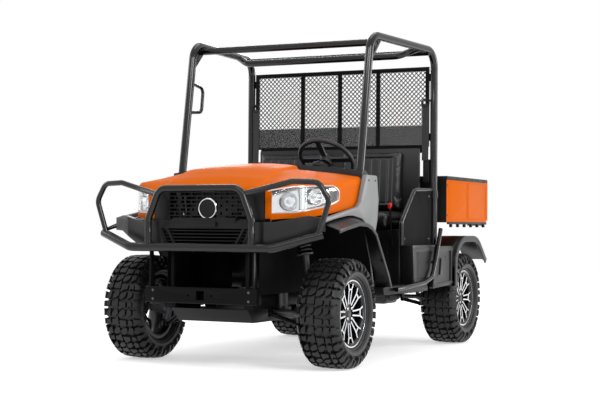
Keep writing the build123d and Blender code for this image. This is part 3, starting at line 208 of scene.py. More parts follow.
# ---------------------------------------------------------------- operators
class Bench:
    """The operator calls that every sub-assembly shares."""

    @staticmethod
    def only(obj: bpy.types.Object) -> bpy.types.Object:
        """Selects one object and makes it active.

        Args:
            obj: The object to work on.

        Returns:
            The same object.
        """
        bpy.ops.object.select_all(action="DESELECT")
        obj.select_set(True)
        bpy.context.view_layer.objects.active = obj
        return obj

    @staticmethod
    def named(name: str) -> bpy.types.Object:
        """Names the object that an operator has just added.

        Args:
            name: The piece's name.

        Returns:
            The new object.
        """
        obj = bpy.context.object
        obj.name = name
        obj.data.name = name
        return obj

    @classmethod
    def settle(cls, obj: bpy.types.Object) -> bpy.types.Object:
        """Applies an object's place, turn and size to its mesh.

        Args:
            obj: The object to settle.

        Returns:
            The same object.
        """
        cls.only(obj)
        bpy.ops.object.transform_apply(location=True, rotation=True, scale=True)
        return obj

    @classmethod
    def box(cls, name: str, low: Point, high: Point) -> bpy.types.Object:
        """Adds a cube stretched between two corners.

        Args:
            name: The piece's name.
            low: Its lowest corner.
            high: Its highest corner.

        Returns:
            The box.
        """
        bpy.ops.object.select_all(action="DESELECT")
        bpy.ops.mesh.primitive_cube_add(size=1, location=[(a + b) / 2 for a, b in zip(low, high)])
        obj = cls.named(name)
        obj.scale = [b - a for a, b in zip(low, high)]
        return cls.settle(obj)

    @classmethod
    def bar(cls, name: str, start: Point, end: Point, radius: float, sides: int = 24) -> bpy.types.Object:
        """Adds a round bar between two points.

        Args:
            name: The piece's name.
            start: One end's centre.
            end: The other end's centre.
            radius: The bar's radius.
            sides: How many sides it has.

        Returns:
            The bar.
        """
        a, b = Vector(start), Vector(end)
        bpy.ops.object.select_all(action="DESELECT")
        bpy.ops.mesh.primitive_cylinder_add(vertices=sides, radius=radius, depth=(b - a).length, location=(a + b) / 2)
        obj = cls.named(name)
        obj.rotation_mode = "QUATERNION"
        obj.rotation_quaternion = (b - a).to_track_quat("Z", "Y")
        return cls.settle(obj)

    @classmethod
    def slab(cls, name: str, outline: list[tuple[float, float]], low: float, high: float,
             draft: float = 1.0) -> bpy.types.Object:
        """Draws a flat outline and extrudes it along Z.

        Args:
            name: The piece's name.
            outline: Its corners as x and y.
            low: The height of its lower face.
            high: The height of its upper face.
            draft: How large the upper face is beside the lower one.

        Returns:
            The slab.
        """
        bpy.ops.object.select_all(action="DESELECT")
        bpy.ops.mesh.primitive_circle_add(vertices=len(outline), radius=1, fill_type="NGON")
        obj = cls.named(name)
        for vertex, (x, y) in zip(obj.data.vertices, outline):
            vertex.co = (x, y, low)
        cls.only(obj)
        bpy.ops.object.mode_set(mode="EDIT")
        bpy.ops.mesh.select_all(action="SELECT")
        bpy.ops.mesh.extrude_region_move(TRANSFORM_OT_translate={"value": (0, 0, high - low)})
        if draft != 1.0:
            bpy.ops.transform.resize(value=(draft, draft, 1))
        bpy.ops.mesh.select_all(action="SELECT")
        bpy.ops.mesh.normals_make_consistent(inside=False)
        bpy.ops.object.mode_set(mode="OBJECT")
        return obj

    @classmethod
    def lathe(cls, name: str, profile: list[tuple[float, float]], steps: int) -> bpy.types.Object:
        """Spins a closed profile once round the X axis.

        Args:
            name: The piece's name.
            profile: Its corners as distance along X and radius.
            steps: How many steps make the turn.

        Returns:
            The turned piece.
        """
        bpy.ops.object.select_all(action="DESELECT")
        bpy.ops.mesh.primitive_circle_add(vertices=len(profile), radius=1)
        obj = cls.named(name)
        for vertex, (x, r) in zip(obj.data.vertices, profile):
            vertex.co = (x, 0, r)
        cls.only(obj)
        bpy.ops.object.mode_set(mode="EDIT")
        bpy.ops.mesh.select_all(action="SELECT")
        bpy.ops.mesh.spin(steps=steps, angle=math.tau, center=(0, 0, 0), axis=(1, 0, 0))
        bpy.ops.mesh.select_all(action="SELECT")
        bpy.ops.mesh.remove_doubles(threshold=1e-6)
        bpy.ops.mesh.normals_make_consistent(inside=False)
        bpy.ops.object.mode_set(mode="OBJECT")
        return obj

    @classmethod
    def modify(cls, obj: bpy.types.Object, kind: str, **settings: object) -> bpy.types.Object:
        """Adds a modifier and applies it.

        Args:
            obj: The object to change.
            kind: The modifier's type.
            settings: Its properties.

        Returns:
            The same object.
        """
        cls.only(obj)
        modifier = obj.modifiers.new(kind.lower(), kind)
        for key, value in settings.items():
            setattr(modifier, key, value)
        bpy.ops.object.modifier_apply(modifier=modifier.name)
        return obj

    @classmethod
    def bevel(cls, obj: bpy.types.Object, width: float, segments: int = 2, angle: float = 30.0) -> bpy.types.Object:
        """Rounds an object's sharp edges.

        Args:
            obj: The object to round.
            width: The rounding's width.
            segments: How many faces it takes.
            angle: The least angle that counts as sharp, in degrees.

        Returns:
            The same object.
        """
        return cls.modify(obj, "BEVEL", width=width, segments=segments, limit_method="ANGLE",
                          angle_limit=math.radians(angle), harden_normals=False)

    @classmethod
    def smooth(cls, obj: bpy.types.Object, angle: float = 35.0) -> bpy.types.Object:
        """Shades an object smooth up to an angle.

        Args:
            obj: The object to shade.
            angle: The largest smooth angle in degrees.

        Returns:
            The same object.
        """
        cls.only(obj)
        bpy.ops.object.shade_smooth_by_angle(angle=math.radians(angle))
        return obj

    @classmethod
    def join(cls, name: str, parts: list[bpy.types.Object]) -> bpy.types.Object:
        """Joins several objects into one piece.

        Args:
            name: The piece's name.
            parts: The objects to join.

        Returns:
            The joined piece.
        """
        cls.only(parts[0])
        for part in parts:
            part.select_set(True)
        bpy.ops.object.join()
        return cls.named(name)

    @classmethod
    def copy(cls, source: bpy.types.Object, name: str, matrix: Matrix) -> bpy.types.Object:
        """Copies an object with a mesh of its own and moves the copy's mesh.

        Args:
            source: The object to copy.
            name: The copy's name.
            matrix: Where the copy goes.

        Returns:
            The copy.
        """
        cls.only(source)
        bpy.ops.object.duplicate(linked=False)
        made = cls.named(name)
        made.data.transform(matrix)
        if matrix.determinant() < 0:
            made.data.flip_normals()
        return made

    @classmethod
    def from_node(cls, node: str, name: str) -> bpy.types.Object:
        """Copies a frame node's mesh and merges its loose triangles into faces.

        Args:
            node: The frame node.
            name: The copy's name.

        Returns:
            The merged copy.
        """
        source = FRAME["nodes"][node]
        made = bpy.data.objects.new(name, source.data.copy())
        bpy.context.scene.collection.objects.link(made)
        cls.only(made)
        bpy.ops.object.mode_set(mode="EDIT")
        bpy.ops.mesh.select_all(action="SELECT")
        bpy.ops.mesh.remove_doubles(threshold=1e-5)
        bpy.ops.mesh.dissolve_limited(angle_limit=math.radians(1.0))
        bpy.ops.object.mode_set(mode="OBJECT")
        return made

    @classmethod
    def cut(cls, obj: bpy.types.Object, cutter: bpy.types.Object, operation: str) -> bpy.types.Object:
        """Combines an object with a cutter and deletes the cutter.

        Args:
            obj: The object to change.
            cutter: The cutting solid.
            operation: DIFFERENCE, INTERSECT or UNION.

        Returns:
            The changed object.
        """
        cls.modify(obj, "BOOLEAN", object=cutter, operation=operation, solver="EXACT")
        bpy.data.objects.remove(cutter)
        return obj

    @classmethod
    def outward(cls, obj: bpy.types.Object) -> bpy.types.Object:
        """Turns an object's faces outwards."""
        cls.only(obj)
        bpy.ops.object.mode_set(mode="EDIT")
        bpy.ops.mesh.select_all(action="SELECT")
        bpy.ops.mesh.normals_make_consistent(inside=False)
        bpy.ops.object.mode_set(mode="OBJECT")
        return obj

    @classmethod
    def turned(cls, obj: bpy.types.Object, matrix: Matrix) -> bpy.types.Object:
        """Moves an object's mesh by a matrix and keeps its faces outwards."""
        obj.data.transform(matrix)
        return cls.outward(obj)

    @classmethod
    def keep(cls, obj: bpy.types.Object, inside: Callable[[Vector], bool]) -> bpy.types.Object:
        """Deletes every face whose middle fails a test.

        Args:
            obj: The object to trim.
            inside: Says of a face's middle whether it stays.

        Returns:
            The trimmed object.
        """
        cls.only(obj)
        bpy.ops.object.mode_set(mode="EDIT")
        bpy.ops.mesh.select_all(action="DESELECT")
        bpy.ops.object.mode_set(mode="OBJECT")
        for polygon in obj.data.polygons:
            polygon.select = not inside(polygon.center)
        bpy.ops.object.mode_set(mode="EDIT")
        bpy.ops.mesh.delete(type="FACE")
        bpy.ops.object.mode_set(mode="OBJECT")
        return obj

    @classmethod
    def repaint(cls, obj: bpy.types.Object, finish: Finish,
                chosen: Callable[[Vector, Vector], bool]) -> bpy.types.Object:
        """Gives the faces that pass a test a second finish.

        Args:
            obj: The object.
            finish: The second finish.
            chosen: Says of a face's middle and normal whether it takes the finish.

        Returns:
            The same object.
        """
        obj.data.materials.append(finish.material())
        index = len(obj.data.materials) - 1
        for polygon in obj.data.polygons:
            if chosen(polygon.center, polygon.normal):
                polygon.material_index = index
        return obj

    @staticmethod
    def paint(obj: bpy.types.Object, finish: Finish) -> bpy.types.Object:
        """Gives an object one finish all over.

        Args:
            obj: The object.
            finish: Its finish.

        Returns:
            The same object.
        """
        obj.data.materials.clear()
        obj.data.materials.append(finish.material())
        return obj


# ---------------------------------------------------------------- frame pieces
@dataclass
class FramePieces:
    """The rigid nodes, copied with rounded edges and smooth shading."""

    left_out: set[str] = field(default_factory=set)
    body_of: dict[str, str] = field(default_factory=dict)
    slot_of: dict[str, str] = field(default_factory=dict)

    def __post_init__(self) -> None:
        """Reads each node's body and slot from the frame's record."""
        record = FRAME["record"]
        self.body_of = {n: b for b, nodes in record["behaviour"]["bodies"].items() for n in nodes}
        self.slot_of = {s["node"]: s["material_slot"] for s in record["subparts"]}

    def build(self) -> None:
        """Dresses every node that no modelled piece replaces."""
        for node, (finish, bevel) in NODE_DRESS.items():
            if node not in self.left_out:
                self.dress(node, finish, bevel)

    def dress(self, node: str, finish: Finish, bevel: float) -> bpy.types.Object:
        """Copies, rounds, shades and finishes one node.

        Args:
            node: The frame node.
            finish: Its finish.
            bevel: The width of its rounded edges, or 0.

        Returns:
            The dressed piece.
        """
        piece = Bench.from_node(node, f"{node}_skin")
        if bevel:
            Bench.bevel(piece, bevel)
        Bench.smooth(piece)
        Bench.paint(piece, finish)
        for second, chosen in SECOND_FINISH.get(node, ()):
            Bench.repaint(piece, second, chosen)
        return self.place(piece, node)

    def place(self, piece: bpy.types.Object, node: str) -> bpy.types.Object:
        """Lets a piece stand for a node on the node's own body.

        Args:
            piece: The finished piece.
            node: The node that it replaces.

        Returns:
            The same piece.
        """
        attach(piece, self.body_of[node])
        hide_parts(node)
        LOG.info("%s on %s", piece.name, self.body_of[node])
        return piece


# ---------------------------------------------------------------- wheels
@dataclass
class Wheels:
    """Knobbly tyres and spoked rims at the four corners."""

    width: float = 0.262
    tread_radius: float = 0.318
    base_radius: float = 0.302
    pitches: int = 18
    spokes: int = 8
    corners: tuple[str, ...] = ("front_left", "front_right", "rear_left", "rear_right")

    def carcass(self) -> bpy.types.Object:
        """Spins the tyre's casing with its bead, bulged walls and rounded tread bed.

        Returns:
            The casing about the X axis.
        """
        half = self.width / 2
        side = [(half - 0.0453, 0.1785), (half - 0.0453, 0.1972), (half - 0.034, 0.2005), (half - 0.029, 0.206),
                (half - 0.0285, 0.2090), (half - 0.018, 0.213), (half - 0.0175, 0.2165), (half - 0.011, 0.222),
                (half - 0.0105, 0.2245), (half - 0.0085, 0.232), (half - 0.0085, 0.240), (half - 0.012, 0.2425),
                (half - 0.017, 0.254), (half - 0.024, 0.268), (half - 0.033, 0.280), (half - 0.046, 0.290),
                (half - 0.066, 0.2965), (half - 0.095, 0.300)]
        profile = side + [(0.0, 0.3020)] + [(-x, r) for x, r in reversed(side)]
        return Bench.lathe("casing", profile, 96)

    def lug(self, outline: list[tuple[float, float]], turn: float) -> bpy.types.Object:
        """Raises one block from an outline on the rolled-out tread and wraps it round the wheel.

        Args:
            outline: The block's corners as distance across and along the tread.
            turn: Where it sits round the wheel, in radians.

        Returns:
            The wrapped block.
        """
        block = Bench.slab("lug", outline, 0.0, 1.0, draft=0.93)
        Bench.modify(block, "BEVEL", width=0.0028, segments=1, limit_method="ANGLE", angle_limit=0.6)
        for vertex in block.data.vertices:
            across, along, rise = vertex.co
            vertex.co = self.wrapped(across, along, rise, turn)
        return block

    def wrapped(self, across: float, along: float, rise: float, turn: float) -> Vector:
        """Places a point of the rolled-out tread on the round tyre.

        Args:
            across: Distance from the tread's middle, past the shoulder down the wall.
            along: Distance along the tread.
            rise: 0 inside the casing and 1 at the block's top.
            turn: The block's place round the wheel, in radians.

        Returns:
            The point in the wheel's frame.
        """
        edge, half = 0.094, self.width / 2
        side = math.copysign(1, across)
        reach = abs(across)
        if reach <= edge:
            crown = 0.005 * (reach / edge) ** 2
            x, low, high = across, self.base_radius - 0.010 - crown, self.tread_radius - crown
            radius = low + (high - low) * rise
        else:
            down = min((reach - edge) / 0.074, 1.0)
            bend = down * math.radians(80)
            x_top = edge + (half - edge) * math.sin(bend)
            r_top = self.tread_radius - 0.005 - 0.078 * (1 - math.cos(bend))
            x_low = edge - 0.004 + 0.012 * math.sin(bend)
            r_low = self.base_radius - 0.020 - 0.062 * (1 - math.cos(bend))
            x = side * (x_low + (x_top - x_low) * rise)
            radius = r_low + (r_top - r_low) * rise
        angle = turn + along / self.tread_radius
        return Vector((x, radius * math.sin(angle), radius * math.cos(angle)))

    def tyre(self) -> bpy.types.Object:
        """Covers the casing with centre, middle and shoulder blocks.

        Returns:
            The tyre about the X axis.
        """
        pitch = math.tau * self.tread_radius / self.pitches
        # across, along, in shares of the pitch for the second value
        centre = [(0.001, -0.47), (0.020, -0.50), (0.045, -0.30), (0.049, -0.06), (0.028, -0.06), (0.003, -0.22)]
        second = [(0.004, -0.10), (0.026, 0.05), (0.048, 0.07), (0.051, 0.36), (0.030, 0.38), (0.002, 0.40)]
        middle = [(0.055, -0.52), (0.076, -0.40), (0.087, -0.30), (0.089, -0.10), (0.072, -0.02), (0.057, -0.12)]
        inner = [(0.058, 0.00), (0.074, 0.12), (0.089, 0.04), (0.090, 0.30), (0.078, 0.38), (0.060, 0.34)]
        shoulder = [(0.096, -0.42), (0.122, -0.50), (0.140, -0.40), (0.168, -0.42), (0.168, -0.24), (0.142, -0.22),
                    (0.134, -0.06), (0.098, -0.08)]
        short = [(0.096, 0.06), (0.120, 0.08), (0.136, 0.18), (0.156, 0.16), (0.156, 0.30), (0.132, 0.34),
                 (0.118, 0.42), (0.096, 0.40)]
        blocks = []
        for index in range(self.pitches):
            for side in (1, -1):
                turn = math.tau * (index + (0.5 if side < 0 else 0.0)) / self.pitches
                for outline in (centre, second, middle, inner, shoulder, short):
                    points = [(side * a, side * s * pitch) for a, s in outline]
                    blocks.append((points, turn))
        lugs = [self.lug(points, turn) for points, turn in blocks]
        casing = Bench.smooth(self.carcass(), 40)
        tyre = Bench.join("tyre_model", [casing, Bench.smooth(Bench.join("lugs", lugs), 30)])
        return Bench.paint(tyre, RUBBER)

    def rim(self) -> bpy.types.Object:
        """Builds the barrel, the dished spokes with machined faces, and the hub with its nuts.

        Returns:
            The rim about the X axis, its face towards +X.
        """
        half, lip, inner = 0.095, 0.196, 0.170
        barrel = Bench.lathe("barrel", [
            (-half, lip), (-half, inner), (-0.05, inner - 0.006), (0.05, inner - 0.006), (half - 0.012, inner),
            (half, lip - 0.010), (half, lip), (half - 0.009, lip), (half - 0.009, 0.178), (half - 0.030, 0.1775),
            (0.035, 0.170), (-0.035, 0.170), (-half + 0.030, 0.1775), (-half + 0.009, 0.178), (-half + 0.009, lip)], 96)
        Bench.bevel(barrel, 0.0012, 2)
        Bench.paint(Bench.smooth(barrel), RIM_BLACK)
        parts = [barrel]
        ring = Bench.lathe("machined_ring", [(half + 0.0004, lip - 0.0015), (half + 0.0004, lip - 0.0085),
                                             (half - 0.0030, lip - 0.0110), (half - 0.0060, lip - 0.0015)], 96)
        parts.append(Bench.paint(Bench.smooth(ring), MACHINED))
        hub = Bench.lathe("hub", [(0.020, 0.019), (0.070, 0.019), (0.072, 0.0), (0.0775, 0.0), (0.0775, 0.024),
                                  (0.0735, 0.027), (0.070, 0.050), (0.058, 0.060), (0.020, 0.060)], 64)
        Bench.bevel(hub, 0.0010, 2)
        parts.append(Bench.paint(Bench.smooth(hub), RIM_BLACK))
        for index in range(self.spokes):
            parts += self.spoke_pair(math.tau * index / self.spokes)
        for index in range(4):
            angle = math.tau * (index + 0.5) / 4
            y, z = 0.040 * math.cos(angle), 0.040 * math.sin(angle)
            nut = Bench.bar("nut", (0.060, y, z), (0.0815, y, z), 0.0085, 6)
            Bench.bevel(nut, 0.0012)
            parts.append(Bench.paint(Bench.smooth(nut), CHROME))
        return Bench.join("rim_model", parts)

    def spoke_pair(self, turn: float) -> list[bpy.types.Object]:
        """Builds two narrow spokes that leave a small window beside the barrel.

        Args:
            turn: The pair's place round the wheel, in radians.

        Returns:
            The black bodies and their machined faces.
        """
        made = []
        rise = Matrix.Rotation(turn, 4, "X")
        for side in (1, -1):
            # distance from the wheel's middle, then sideways
            run = [(0.050, side * 0.012), (0.138, side * 0.0185), (0.169, side * 0.034)]
            for (r0, s0), (r1, s1) in zip(run, run[1:]):
                made.append(self.strut(r0, s0, r1, s1, rise))
        made.append(self.strut(0.139, -0.019, 0.139, 0.019, rise))
        return made

    def strut(self, r0: float, s0: float, r1: float, s1: float, rise: Matrix) -> bpy.types.Object:
        """Builds one straight stretch of a spoke with a machined top.

        Args:
            r0: Where it starts from the wheel's middle.
            s0: How far sideways it starts.
            r1: Where it ends from the wheel's middle.
            s1: How far sideways it ends.
            rise: The turn of its spoke.

        Returns:
            The stretch.
        """
        def face(r: float) -> float:
            """The height of the spokes' face at a distance from the middle."""
            return 0.0745 + 0.0125 * (r - 0.05) / 0.12

        along = Vector((r1 - r0, s1 - s0)).normalized()
        across = Vector((-along.y, along.x)) * 0.0058
        corners = [(r0 - along.x * 0.004, s0 - along.y * 0.004), (r1 + along.x * 0.004, s1 + along.y * 0.004)]
        outline = [(corners[0][0] - across.x, corners[0][1] - across.y), (corners[1][0] - across.x, corners[1][1] - across.y),
                   (corners[1][0] + across.x, corners[1][1] + across.y), (corners[0][0] + across.x, corners[0][1] + across.y)]
        bar = Bench.slab("spoke", outline, -0.020, 0.0, draft=0.86)
        Bench.modify(bar, "BEVEL", width=0.0009, segments=1, limit_method="ANGLE", angle_limit=0.6)
        bar.data.materials.append(RIM_BLACK.material())
        bar.data.materials.append(MACHINED.material())
        for polygon in bar.data.polygons:
            polygon.material_index = 1 if polygon.normal.z > 0.5 else 0
        for vertex in bar.data.vertices:
            r, s, h = vertex.co
            vertex.co = (face(r) + h, s, r)
        bar.data.transform(rise)
        return bar

    def build(self, frame: FramePieces) -> None:
        """Copies the tyre and the rim to each corner.

        Args:
            frame: Places pieces on their bodies.
        """
        tyre, rim = self.tyre(), self.rim()
        for corner in self.corners:
            low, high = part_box(f"tyre_{corner}")
            middle = (low + high) / 2
            place = Matrix.Translation(middle)
            if middle.x < 0:
                place = place @ Matrix.Rotation(math.pi, 4, "Z")
            for model, kind in ((tyre, "tyre"), (rim, "rim")):
                frame.place(Bench.copy(model, f"{kind}_{corner}_model", place), f"{kind}_{corner}")
        for model in (tyre, rim):
            bpy.data.objects.remove(model)


# ---------------------------------------------------------------- rear screen
@dataclass
class RearScreen:
    """Diamond wire above and fine perforated sheet below, inside the screen's frame."""

    half: float = 0.634
    split: float = 1.500
    pitch: float = 0.031
    fine_pitch: float = 0.0095

    def lattice(self, name: str, low: float, high: float, pitch: float, strand: float) -> bpy.types.Object:
        """Crosses slanted strips and trims them to a rectangle.

        Args:
            name: The piece's name.
            low: The rectangle's lower edge.
            high: Its upper edge.
            pitch: The distance between strips along X.
            strand: Each strip's width.

        Returns:
            The lattice.
        """
        y = SCREEN_MIDDLE_Y
        height = high - low
        count = int((2 * self.half + height) / pitch) + 1
        strips = []
        first = Bench.box("strip", (-strand / 2, y - 0.0008, -0.75 * height), (strand / 2, y + 0.0008, 0.75 * height))
        first.data.transform(Matrix.Rotation(math.radians(45), 4, "Y"))
        for direction in (1, -1):
            for index in range(count):
                x = -self.half - height / 2 + index * pitch
                move = Matrix.Translation((x, direction * 0.0008, (low + high) / 2))
                turn = Matrix.Identity(4) if direction > 0 else Matrix.Scale(-1, 4, (1, 0, 0))
                strips.append(Bench.copy(first, "strip", move @ turn))
        bpy.data.objects.remove(first)
        mesh = Bench.join(name, strips)
        for co, no in (((self.half, 0, 0), (1, 0, 0)), ((-self.half, 0, 0), (-1, 0, 0)),
                       ((0, 0, high), (0, 0, 1)), ((0, 0, low), (0, 0, -1))):
            Bench.only(mesh)
            bpy.ops.object.mode_set(mode="EDIT")
            bpy.ops.mesh.select_all(action="SELECT")
            bpy.ops.mesh.bisect(plane_co=co, plane_no=no, clear_outer=True, use_fill=True)
            bpy.ops.object.mode_set(mode="OBJECT")
        return mesh

    def build(self, frame: FramePieces) -> None:
        """Makes the surround and both fields of the screen.

        Args:
            frame: Places pieces on their bodies.
        """
        low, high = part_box("rear_screen")
        surround = Bench.from_node("rear_screen", "screen_surround")
        Bench.keep(surround, lambda c: not (low.y + 0.0055 < c.y < low.y + 0.0095
                                                 and low.z + 0.013 < c.z < 1.501 and abs(c.x) < 0.610))
        Bench.bevel(surround, 0.001)
        Bench.paint(Bench.smooth(surround), FRAME_BLACK)
        frame.place(surround, "rear_screen")
        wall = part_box("rear_bulkhead")
        skirt = Bench.box("screen_skirt", (-0.612, low.y + 0.004, wall[1].z - 0.030), (0.612, low.y + 0.007, low.z + 0.002))
        Fittings.finish(Bench.bevel(skirt, 0.001), "chassis", "screen_black", FRAME_BLACK)
        for name, bottom, top, pitch, strand in (
                ("screen_diamonds", self.split, high.z - 0.026, self.pitch, 0.0058),
                ("screen_fine_mesh", low.z + 0.010, self.split, self.fine_pitch, 0.0045)):
            piece = Bench.paint(self.lattice(name, bottom, top, pitch, strand), FRAME_BLACK)
            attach(piece, "chassis")
            LOG.info("%s on chassis", name)


# ---------------------------------------------------------------- hood and lamps
@dataclass
class Hood:
    """The painted hood as one curved sheet, with its lamp openings, trims, lenses and reflectors."""

    # y, middle height, dome half width and edge height, step beside it, half width, side height
    stations: tuple[tuple[float, ...], ...] = (
        (-1.392, 1.030, 0.306, 1.026, 0.004, 0.400, 1.020), (-1.265, 1.108, 0.304, 1.094, 0.010, 0.560, 1.074),
        (-1.080, 1.172, 0.296, 1.154, 0.016, 0.640, 1.072), (-0.800, 1.200, 0.262, 1.182, 0.024, 0.662, 1.108),
        (-0.704, 1.203, 0.200, 1.190, 0.030, 0.662, 1.118))
    skirt: tuple[tuple[float, float], ...] = (
        (-1.430, 0.856), (-1.373, 0.856), (-1.235, 0.870), (-1.151, 0.884), (-0.794, 0.937), (-0.640, 0.946))
    lamp: tuple[tuple[float, float], ...] = (
        (-1.402, 0.886), (-1.402, 1.014), (-1.312, 1.045), (-1.066, 1.056), (-1.010, 1.024), (-1.014, 0.965),
        (-1.126, 0.930), (-1.230, 0.909), (-1.309, 0.891))
    roll: float = 0.045
    bulge: float = 0.005
    wall: float = 0.005

    def station(self, y: float) -> list[float]:
        """Blends the two stations beside a place along the hood.

        Args:
            y: The place.

        Returns:
            The section's sizes without y.
        """
        rows = self.stations
        index = max(i for i in range(len(rows) - 1) if rows[i][0] <= y + 1e-9 or i == 0)
        before, low, high, after = (rows[max(index - 1, 0)], rows[index], rows[index + 1],
                                    rows[min(index + 2, len(rows) - 1)])
        span = high[0] - low[0]
        t = (y - low[0]) / span
        blended = []
        for k in range(1, len(low)):
            m0 = (high[k] - before[k]) / (high[0] - before[0]) * span * 0.8
            m1 = (after[k] - low[k]) / (after[0] - low[0]) * span * 0.8
            blended.append((2 * t ** 3 - 3 * t ** 2 + 1) * low[k] + (t ** 3 - 2 * t ** 2 + t) * m0
                           + (3 * t ** 2 - 2 * t ** 3) * high[k] + (t ** 3 - t ** 2) * m1)
        return blended

    def bottom(self, y: float) -> float:
        """The skirt's lower edge at a place along the hood."""
        for (y0, z0), (y1, z1) in zip(self.skirt, self.skirt[1:]):
            if y <= y1:
                return z0 + (z1 - z0) * (y - y0) / (y1 - y0)
        return self.skirt[-1][1]

    def point(self, share: float, y: float) -> Point:
        """Gives a point of the hood's skin.

        Args:
            share: The place across, from -1 at the right skirt's foot over 0 in the middle to 1.
            y: The place along.

        Returns:
            The point.
        """
        middle, dome_x, dome_z, step, side_x, side_z = self.station(y)
        a, side = abs(share), math.copysign(1, share)
        corner_x = side_x - self.roll
        if a < 0.36:
            t = a / 0.36
            x, z = dome_x * t, middle - (middle - dome_z) * t ** 2
        elif a < 0.42:
            t = (a - 0.36) / 0.06
            x, z = dome_x + 0.022 * t, dome_z - step * (3 * t ** 2 - 2 * t ** 3)
        elif a < 0.74:
            t = (a - 0.42) / 0.32
            x = dome_x + 0.022 + (corner_x - dome_x - 0.022) * t
            z = dome_z - step + (side_z - dome_z + step) * t + 4 * self.bulge * t * (1 - t)
        elif a < 0.88:
            t = math.radians(90 * (a - 0.74) / 0.14)
            x, z = corner_x + self.roll * math.sin(t), side_z - self.roll + self.roll * math.cos(t)
        else:
            t = (a - 0.88) / 0.12
            x, z = side_x, side_z - self.roll + (self.bottom(y) - side_z + self.roll) * t
        return side * x, y, z

    def sheet(self, name: str, share: tuple[float, float], run: tuple[float, float], cells: tuple[int, int],
              curl: bool = False) -> bpy.types.Object:
        """Adds a grid and lays it on the hood's skin.

        Args:
            name: The piece's name.
            share: Its lowest and highest share across.
            run: Its lowest and highest place along.
            cells: How many faces it has across and along.
            curl: Whether its first rows turn down round the nose.

        Returns:
            The sheet, facing outwards.
        """
        bpy.ops.object.select_all(action="DESELECT")
        bpy.ops.mesh.primitive_grid_add(x_subdivisions=cells[0], y_subdivisions=cells[1], size=2)
        obj = Bench.named(name)
        nose = run[0] + 3 * (run[1] - run[0]) / cells[1]
        for vertex in obj.data.vertices:
            across = share[0] + (share[1] - share[0]) * (vertex.co.x + 1) / 2
            y = run[0] + (run[1] - run[0]) * (vertex.co.y + 1) / 2
            if curl and y < nose - 1e-6:
                row = round((nose - y) / ((nose - run[0]) / 3))
                x, _, z = self.point(across, run[0] + 0.003)
                drop = (0.0, 0.0035, 0.010, 0.019)[row]
                vertex.co = (x * (1 - 0.25 * drop / 0.4), run[0] + (0.0, 0.004, 0.0012, 0.0008)[row], z - drop)
            else:
                vertex.co = self.point(across, y)
        obj.data.update()
        return Bench.smooth(obj, 60)

    def prism(self, name: str, grow: float, x: tuple[float, float]) -> bpy.types.Object:
        """Adds the lamp's outline as a solid across the left corner.

        Args:
            name: The piece's name.
            grow: How far the outline is moved outwards.
            x: The solid's lowest and highest x.

        Returns:
            The solid.
        """
        middle_y = sum(y for y, _ in self.lamp) / len(self.lamp)
        middle_z = sum(z for _, z in self.lamp) / len(self.lamp)
        outline = []
        count = len(self.lamp)
        for i, (y, z) in enumerate(self.lamp):
            (y0, z0), (y1, z1) = self.lamp[i - 1], self.lamp[(i + 1) % count]
            along = Vector((y1 - y0, z1 - z0)).normalized()
            normal = Vector((along.y, -along.x))
            if normal.dot(Vector((y - middle_y, z - middle_z))) < 0:
                normal = -normal
            outline.append((y + normal.x * grow, z + normal.y * grow))
        solid = Bench.slab(name, outline, x[0], x[1])
        # the slab is drawn flat: its x, y and z become y, z and x
        solid.data.transform(Matrix(((0, 0, 1, 0), (1, 0, 0, 0), (0, 1, 0, 0), (0, 0, 0, 1))))
        Bench.only(solid)
        bpy.ops.object.mode_set(mode="EDIT")
        bpy.ops.mesh.select_all(action="SELECT")
        bpy.ops.mesh.normals_make_consistent(inside=False)
        bpy.ops.object.mode_set(mode="OBJECT")
        return solid

    def shell(self) -> bpy.types.Object:
        """Thickens the sheet and cuts both lamp openings.

        Returns:
            The hood's shell.
        """
        shell = self.sheet("hood_skin", (-1, 1), (-1.392, -0.704), (150, 56), curl=True)
        Bench.modify(shell, "SOLIDIFY", thickness=self.wall, offset=-1.0, use_even_offset=False)
        for side in (1, -1):
            cutter = self.prism("lamp_cutter", 0.0, (0.394, 0.740))
            if side < 0:
                cutter = Bench.turned(cutter, Matrix.Scale(-1, 4, (1, 0, 0)))
            Bench.cut(shell, cutter, "DIFFERENCE")
        nose = Bench.box("nose_cutter", (-0.366, -1.45, 0.80), (0.366, -1.34, 1.0205))
        Bench.cut(shell, nose, "DIFFERENCE")
        strips = []
        for side in (1, -1):
            x0, x1 = sorted((side * 0.364, side * 0.4035))
            strips.append(Bench.box("nose_strip", (x0, -1.3925, 0.858), (x1, -1.3855, 1.010)))
        Bench.bevel(shell, 0.0016, 2, 50)
        strips = [Bench.bevel(strip, 0.0015) for strip in strips]
        return Bench.paint(Bench.smooth(Bench.join("hood_skin", [shell, *strips]), 40), ORANGE)

    def corner_sheet(self, name: str, inward: float, thickness: float) -> bpy.types.Object:
        """Makes a thick sheet that follows the left corner of the skin.

        Args:
            name: The piece's name.
            inward: How far it lies under the skin.
            thickness: How thick it is.

        Returns:
            The sheet.
        """
        sheet = self.sheet(name, (0.44, 1.0), (-1.392, -0.980), (56, 44))
        Bench.modify(sheet, "DISPLACE", strength=-inward, mid_level=0.0)
        return Bench.modify(sheet, "SOLIDIFY", thickness=thickness, offset=-1.0)

